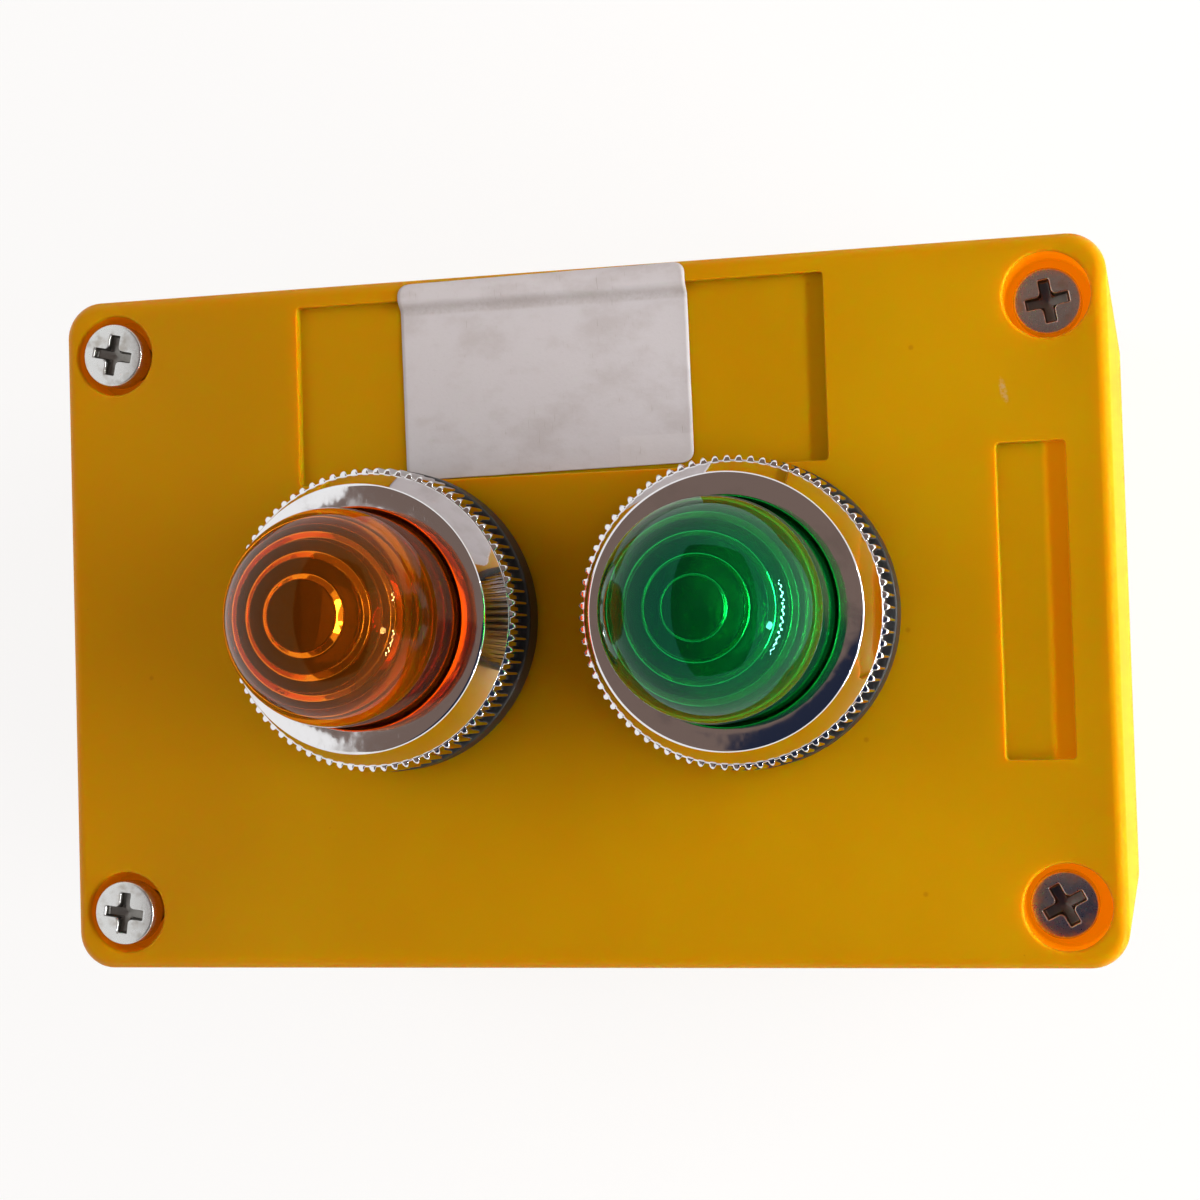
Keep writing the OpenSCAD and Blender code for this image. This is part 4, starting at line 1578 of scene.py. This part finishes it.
    def ring_nut(self) -> None:
        """Ring nut with round notches.

        Where a notch of radius n, with its middle at radius R, is passed at an angle a, the
        rim lies at R cos a - sqrt(n^2 - (R sin a)^2).
        """
        count = 24 * self.notches
        turn = np.linspace(0, 2 * np.pi, count, endpoint=False) + 1e-4
        step = 2 * np.pi / self.notches
        a = (turn + step / 2) % step - step / 2
        away = self.nut_r + self.notch_out
        inside_notch = self.notch_r ** 2 - (away * np.sin(a)) ** 2
        notch = away * np.cos(a) - np.sqrt(np.maximum(inside_notch, 0))
        rim = np.where(inside_notch > 0, np.minimum(notch, self.nut_r), self.nut_r)
        low, high = self.nut_top - self.nut_t, self.nut_top
        inner = self.barrel_r + self.play
        line = soften(points((inner, low), (1, low), (1, high), (inner, high)),
                      np.array([0.3, 0.35, 0.35, 0.3]), closed=True)
        share = (line[:, :1] - inner) / (1 - inner)
        radius = inner + share * (rim[None] - inner)
        grid = wrapped(radius, Path.circle(count=count).out, line[:, 1])
        self.dress("ring_nut", Skin().grid(grid), MouldedPlastic())

    def lens(self) -> None:
        """Clear dome with inner steps.

        The outside is a flange, a straight foot and half a sphere. Inside, each flat ceiling
        ends on a sphere: its height is the dome's middle + sqrt(R^2 - r^2). The walls between
        them widen downwards by the draft on either side.
        """
        stairs = [(radius, self.step_z(radius), self.draft) for radius in self.steps]
        stairs += [(radius, high, 0.0) for radius, high in self.bands]
        inner = [(0.0, stairs[0][1])]
        for (radius, high, draft), lower in zip(stairs, [s[1] for s in stairs[1:]] + [self.lens_z]):
            inner += [(radius - draft, high), (radius + draft, lower)]
        flange_top = self.lens_z + self.lens_flange_t
        line = np.array(inner + [
            (self.lens_flange_r, self.lens_z), (self.lens_flange_r, flange_top), (self.lens_r, flange_top),
            (self.lens_r, self.dome_z)])
        reach = np.full(len(line), 0.13)
        reach[-2] = 0.3
        low = soften(line, reach, 6)
        dome = arc((0, self.dome_z), self.lens_r, 0, 90, 44)
        skin = turned(np.concatenate([low, dome[1:]]), count=160)
        self.dress("lens", skin, self.lens_finish, self.node("lens"))

    def step_z(self, radius: float) -> float:
        """Height of the flat ceiling whose edge touches the inner sphere."""
        return self.dome_z + math.sqrt(self.sphere_r ** 2 - radius ** 2)

    def bezel(self) -> None:
        """Chromed screw ring with a knurled skirt.

        Round the skirt the radius is the root's plus the depth of a tooth times
        1 - (s / h)^2, with s the place in the tooth and h half its foot. Upwards each tooth
        ends as a quarter of an ellipse. The cone, the flat top with its rounded edges and
        the hollow follow in one profile.
        """
        z0, z1 = self.bezel_z, self.bezel_z + self.skirt_h
        edge = np.array([self.top_r - self.top_edge, z0 + self.top_h - self.top_edge])
        lean = math.degrees(math.atan2(self.cone_r - self.top_r, edge[1] - z1))
        inner = (self.opening_r + self.opening_edge, z0 + self.top_h - self.opening_edge)
        bore = self.collar_r + self.play
        skirt_z = np.concatenate([
            [z0, z0, z0 + 0.12, z0 + 0.3], np.linspace(z0 + 1, z1 - self.chamfer - 0.15, 4),
            np.linspace(z1 - self.chamfer, z1, 9)])
        outside = np.c_[np.full(len(skirt_z), self.tip_r), skirt_z]
        outside[0, 0] = self.root_r - 0.2
        upper = np.concatenate([
            points((self.root_r - 0.1, z1), (self.cone_r + 0.06, z1), (self.cone_r, z1 + 0.08)),
            arc(tuple(edge), self.top_edge, lean, 90, 10),
            arc(inner, self.opening_edge, 90, 180, 8),
            soften(points((self.opening_r, self.roof + 1), (self.opening_r, self.roof), (bore, self.roof),
                          (bore, z0), (self.root_r - 0.2, z0)), np.array([0, 0.1, 0.2, 0.2, 0]), 5)])
        profile = np.concatenate([outside, upper])
        share = np.array([-0.5, -0.4, -0.3, -0.28, -0.23, -0.16, -0.08, 0, 0.08, 0.16, 0.23, 0.28, 0.3, 0.4])
        teeth = (np.arange(self.tooth_count)[:, None] + share[None]).ravel() / self.tooth_count
        turn = 2 * np.pi * (teeth + self.tooth_turn / 360)
        ridge = np.tile(np.clip(1 - (share / self.tooth_half) ** 2, 0, 1), self.tooth_count)
        tooth = self.root_r + (self.tip_r - self.root_r) * ridge
        radius = np.broadcast_to(profile[:, :1], (len(profile), len(turn))).copy()
        rows = slice(1, len(skirt_z))
        past = np.clip((skirt_z[rows] - z1) / self.chamfer + 1, 0, 1)
        cone = self.root_r - 0.1 + (self.tip_r - self.root_r + 0.1) * np.sqrt(1 - past ** 2)
        foot_cone = self.root_r + (skirt_z[rows] - z0 + 0.1) * 2.2
        radius[rows] = np.minimum(np.minimum(tooth[None], cone[:, None]), foot_cone[:, None])
        grid = wrapped(radius, directions(turn), profile[:, 1])
        self.dress("bezel", Skin().grid(grid), Chrome(), self.node("bezel"))

    def bulb(self) -> None:
        """Hollow glass bulb, its outside with the foot and its inside as two patches."""
        radius, hollow_r = self.bulb_r, self.bulb_r - self.bulb_wall
        middle, foot = (0, self.bulb_top - radius), self.bulb_foot
        outside = np.concatenate([points((hollow_r, foot), (radius, foot)), arc(middle, radius, 0, 90, 20)])
        hollow = np.concatenate([arc(middle, hollow_r, 90, 0, 20), points((hollow_r, foot))])
        ring = Path.circle(count=64)
        self.dress("bulb_glass", Skin().grid(ring.carry(outside)).grid(ring.carry(hollow)), BulbGlass())

    def build(self) -> None:
        """Builds the lamp's pieces from the panel outwards and then those inside."""
        inner = self.barrel_r + self.play
        self.body()
        self.ring("panel_gasket", inner, self.flange_r - 0.5, 0, self.gasket_t, Rubber())
        self.ring("washer", inner, self.nut_r - 0.3, self.nut_top, self.nut_top + 0.8, Metal())
        low = self.collar_top
        self.ring("lens_seal", self.bore_r, self.lens_flange_r, low, low + 0.7, Rubber())
        self.ring_nut()
        self.lens()
        self.bezel()
        self.bulb()
        for part, finish in (("bulb_cap", Brass()), ("socket", Brass()), ("terminal_block", Phenolic()),
                             ("terminal_plates", Brass()), ("terminal_screws", Metal())):
            merged_copy(self.node(part), finish, "cover")


@dataclass
class Studio:
    """Pale floor, soft lights, reflection cards and the camera."""

    station: tuple[float, float, float] = (0.0625, -0.0071, 0.3102)
    turns: tuple[float, float, float] = (-2.094033, -13.718512, 2.156666)
    focal: float = 69.6421667
    sensor: float = 36.0
    ambient: float = 0.44
    warmth: Colour = (1.0, 0.75, 0.62)
    shadow: float = 0.16

    def seen(self, board: Board) -> Shade:
        """Mask that is 1 for rays from the camera, from gloss and through glass.

        Args:
            board: board that takes the nodes.

        Returns:
            The mask.
        """
        rays = [board.add("ShaderNodeLightPath", {}, {}, name)
                for name in ("Is Camera Ray", "Is Glossy Ray", "Is Transmission Ray")]
        return rays[0].most(rays[1]).most(rays[2])

    def floor(self) -> None:
        """Large pale floor that keeps the object's shadow."""
        half, low = 4000.0, -0.3
        corner = np.array([[-half, -half, low], [half, -half, low], [half, half, low], [-half, half, low]])
        mesh = bpy.data.meshes.new("floor")
        mesh.from_pydata((corner * MM).tolist(), [], [[0, 1, 2, 3]])
        plane = put("floor", mesh)
        board = Board.named("floor_paint")
        glow = board.add("ShaderNodeEmission", {}, {"Color": (1, 1, 1, 1), "Strength": 1.0})
        matt = board.add("ShaderNodeBsdfDiffuse", {}, {"Color": (0.86, 0.86, 0.86, 1)})
        mask = self.seen(board) * (1 - self.shadow)
        mesh.materials.append(board.close(board.add("ShaderNodeMixShader", {}, {0: mask, 1: matt, 2: glow})))

    def world(self) -> None:
        """White surroundings for camera and reflections, softer light for everything else."""
        board = Board(bpy.data.worlds.new("surroundings"))
        shades = {1: (self.warmth, self.ambient), 2: ((1, 1, 1), 1.0)}
        links = {key: board.add("ShaderNodeBackground", {}, {"Color": (*colour, 1), "Strength": strength})
                 for key, (colour, strength) in shades.items()}
        links[0] = self.seen(board)
        bpy.context.scene.world = board.close(board.add("ShaderNodeMixShader", {}, links))

    def lamp(self, name: str, spot: Vector, aim: Vector, size: tuple[float, float], power: float,
             glossy: bool, colour: Colour = (1, 1, 1)) -> None:
        """Adds a rectangular lamp.

        Args:
            name: its name.
            spot: its place in metres.
            aim: the place that it faces.
            size: width and height in metres.
            power: power in watts.
            glossy: whether reflections show it.
            colour: its colour.
        """
        data = bpy.data.lights.new(name, "AREA")
        data.shape = "RECTANGLE"
        data.size, data.size_y = size
        data.energy = power
        data.color = colour
        light = bpy.data.objects.new(name, data)
        light.location = spot
        light.rotation_mode = "QUATERNION"
        light.rotation_quaternion = (spot - aim).to_track_quat("Z", "Y")
        light.visible_glossy = glossy
        light.visible_camera = False
        bpy.context.scene.collection.objects.link(light)

    def card(self, name: str, spot: Vector, aim: Vector, size: tuple[float, float],
             paint: Callable[[Board], Shade | Colour], strength: float = 1.0, rim: int = 4) -> None:
        """Hangs a card that only reflections and glass show.

        Args:
            name: its name.
            spot: its middle in metres.
            aim: the place that it faces.
            size: width and height in metres.
            paint: gives its colour on a board.
            strength: its brightness.
            rim: corners of its outline, 4 for a rectangle.
        """
        scale = 1 / math.cos(math.pi / 4) if rim == 4 else 1.0
        corner = directions(np.radians(45 + np.arange(rim) * 360 / rim)) * np.array(size) / 2 * scale
        mesh = bpy.data.meshes.new(name)
        mesh.from_pydata(np.c_[corner, np.zeros(rim)].tolist(), [], [list(range(rim))])
        board = Board.named(name + "_paint")
        colour = paint(board)
        glow = {"Color": colour if isinstance(colour, Shade) else (*colour, 1), "Strength": strength}
        mesh.materials.append(board.close(board.add("ShaderNodeEmission", {}, glow)))
        sheet = put(name, mesh)
        turn = (spot - aim).to_track_quat("Z", "Y").to_matrix().to_4x4()
        sheet.matrix_world = Matrix.Translation(spot) @ turn
        sheet.visible_camera = sheet.visible_diffuse = sheet.visible_shadow = False

    def dusk(self, board: Board) -> Shade:
        """Brown that turns dark blue towards one corner, as on the back of a dark camera."""
        corner = board.x.rise(0.155, 0.147) * board.y.rise(-0.052, -0.044)
        return board.mix(corner, (0.19, 0.135, 0.115), (0.018, 0.024, 0.05))

    def beads(self, board: Board) -> Shade:
        """Two rows of bright beads, each row half a spacing off the other.

        Args:
            board: board that takes the nodes.

        Returns:
            The colour.
        """
        gap, row, size = 0.053, 0.009, 0.012
        upper = board.y.rise(-0.0001, 0.0001)
        along = board.x / gap + upper * 0.5
        u = board.add("ShaderNodeMath", {"operation": "FRACT"}, {0: along}) - 0.5
        v = (abs(board.y) - row) / gap
        edge = (size / gap) ** 2
        return board.mix((u * u + v * v).rise(edge, edge * 0.7), (0.002, 0.002, 0.002), (1.0, 1.0, 1.0))

    def lights(self) -> None:
        """Long key lamp on the +X side, softer light from the other side, and the cards."""
        middle = Vector((0, 0, 0.07))
        self.lamp("key", Vector((0.52, -0.02, 0.30)), middle, (0.72, 0.05), 4.1, False, (0.98, 1.0, 0.98))
        self.lamp("side", Vector((0.70, -0.02, 0.115)), middle, (0.5, 0.06), 3.7, False, (1.0, 0.95, 0.8))
        self.lamp("fill", Vector((-0.55, 0.10, 0.55)), middle, (0.5, 0.5), 1.95, False, (0.96, 1.0, 1.0))
        green = Vector((0.0278, -0.001, 0.0972))
        self.card("bead_strip", Vector((0.53, -0.076, 0.132)), green, (0.59, 0.044), self.beads, 100.0)
        self.card("round_lamp", Vector((0.484, -0.136, 0.250)), green, (0.062, 0.062),
                  lambda board: (1.0, 1.0, 1.0), 40.0, 32)
        above = Vector((0.1275, -0.05, 0.316))
        self.card("dark_card", above, above - Vector((0, 0, 1)), (0.465, 1.1), self.dusk)

    def camera(self) -> None:
        """Camera at the photograph's station: its axes are the rows of Rz Ry Rx."""
        data = bpy.data.cameras.new("camera")
        data.lens, data.sensor_width, data.clip_start = self.focal, self.sensor, 0.01
        x, y, z = (math.radians(a) for a in self.turns)
        turn = Matrix.Rotation(z, 3, "Z") @ Matrix.Rotation(y, 3, "Y") @ Matrix.Rotation(x, 3, "X")
        camera = bpy.data.objects.new("camera", data)
        camera.matrix_world = Matrix.Translation(self.station) @ turn.transposed().to_4x4()
        bpy.context.scene.collection.objects.link(camera)
        bpy.context.scene.camera = camera
        bpy.context.scene.view_settings.view_transform = "Standard"

    def build(self) -> None:
        """Sets up the whole studio."""
        self.camera()
        self.world()
        self.floor()
        self.lights()


@dataclass
class ControlStation:
    """The whole object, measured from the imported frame."""

    low: Vector = field(default_factory=lambda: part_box("cover")[0])
    high: Vector = field(default_factory=lambda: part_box("cover")[1])

    def build(self) -> None:
        """Builds the case and then both lamps."""
        length, width = ((self.high[k] - self.low[k]) / MM for k in (0, 1))
        front, joint = self.high[2] / MM, self.low[2] / MM
        cover = Cover(length, width, front, joint)
        cover.build("front_cover", "cover")
        Base(length, width).build("rear_base", "base")
        CoverScrews(cover.screws, front - cover.well_d).build()
        Sticker(front, width).build()
        merged_copy("threaded_inserts", Brass(), "base")
        merged_copy("cable_grommet", Rubber("grommet_rubber"), "base")
        amber = LensPlastic(
            "amber_lens", tint=(0.95, 0.285, 0.012), depth=(0.95, 0.46, 0.03), shine=(0.8, 0.42, 0.10),
            density=80.0, clear=0.96)
        green = LensPlastic(
            "green_lens", tint=(0.006, 0.62, 0.14), depth=(0.01, 0.70, 0.25), shine=(0.12, 0.95, 0.75),
            density=110.0, clear=0.95)
        for name, finish, steps, draft in (("amber", amber, (3.55, 5.5, 7.1, 8.4, 9.05), 0.2),
                                           ("green", green, (2.9, 4.6, 6.4, 7.9, 8.85), 0.05)):
            low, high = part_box(f"{name}_body")
            middle = (low + high) / 2 / MM
            PilotLamp(name, middle[0], middle[1], front, finish, steps, draft).build()


def main() -> None:
    logging.basicConfig(level=logging.INFO, format="%(message)s")
    Studio().build()
    ControlStation().build()


if __name__ == "__main__":
    main()
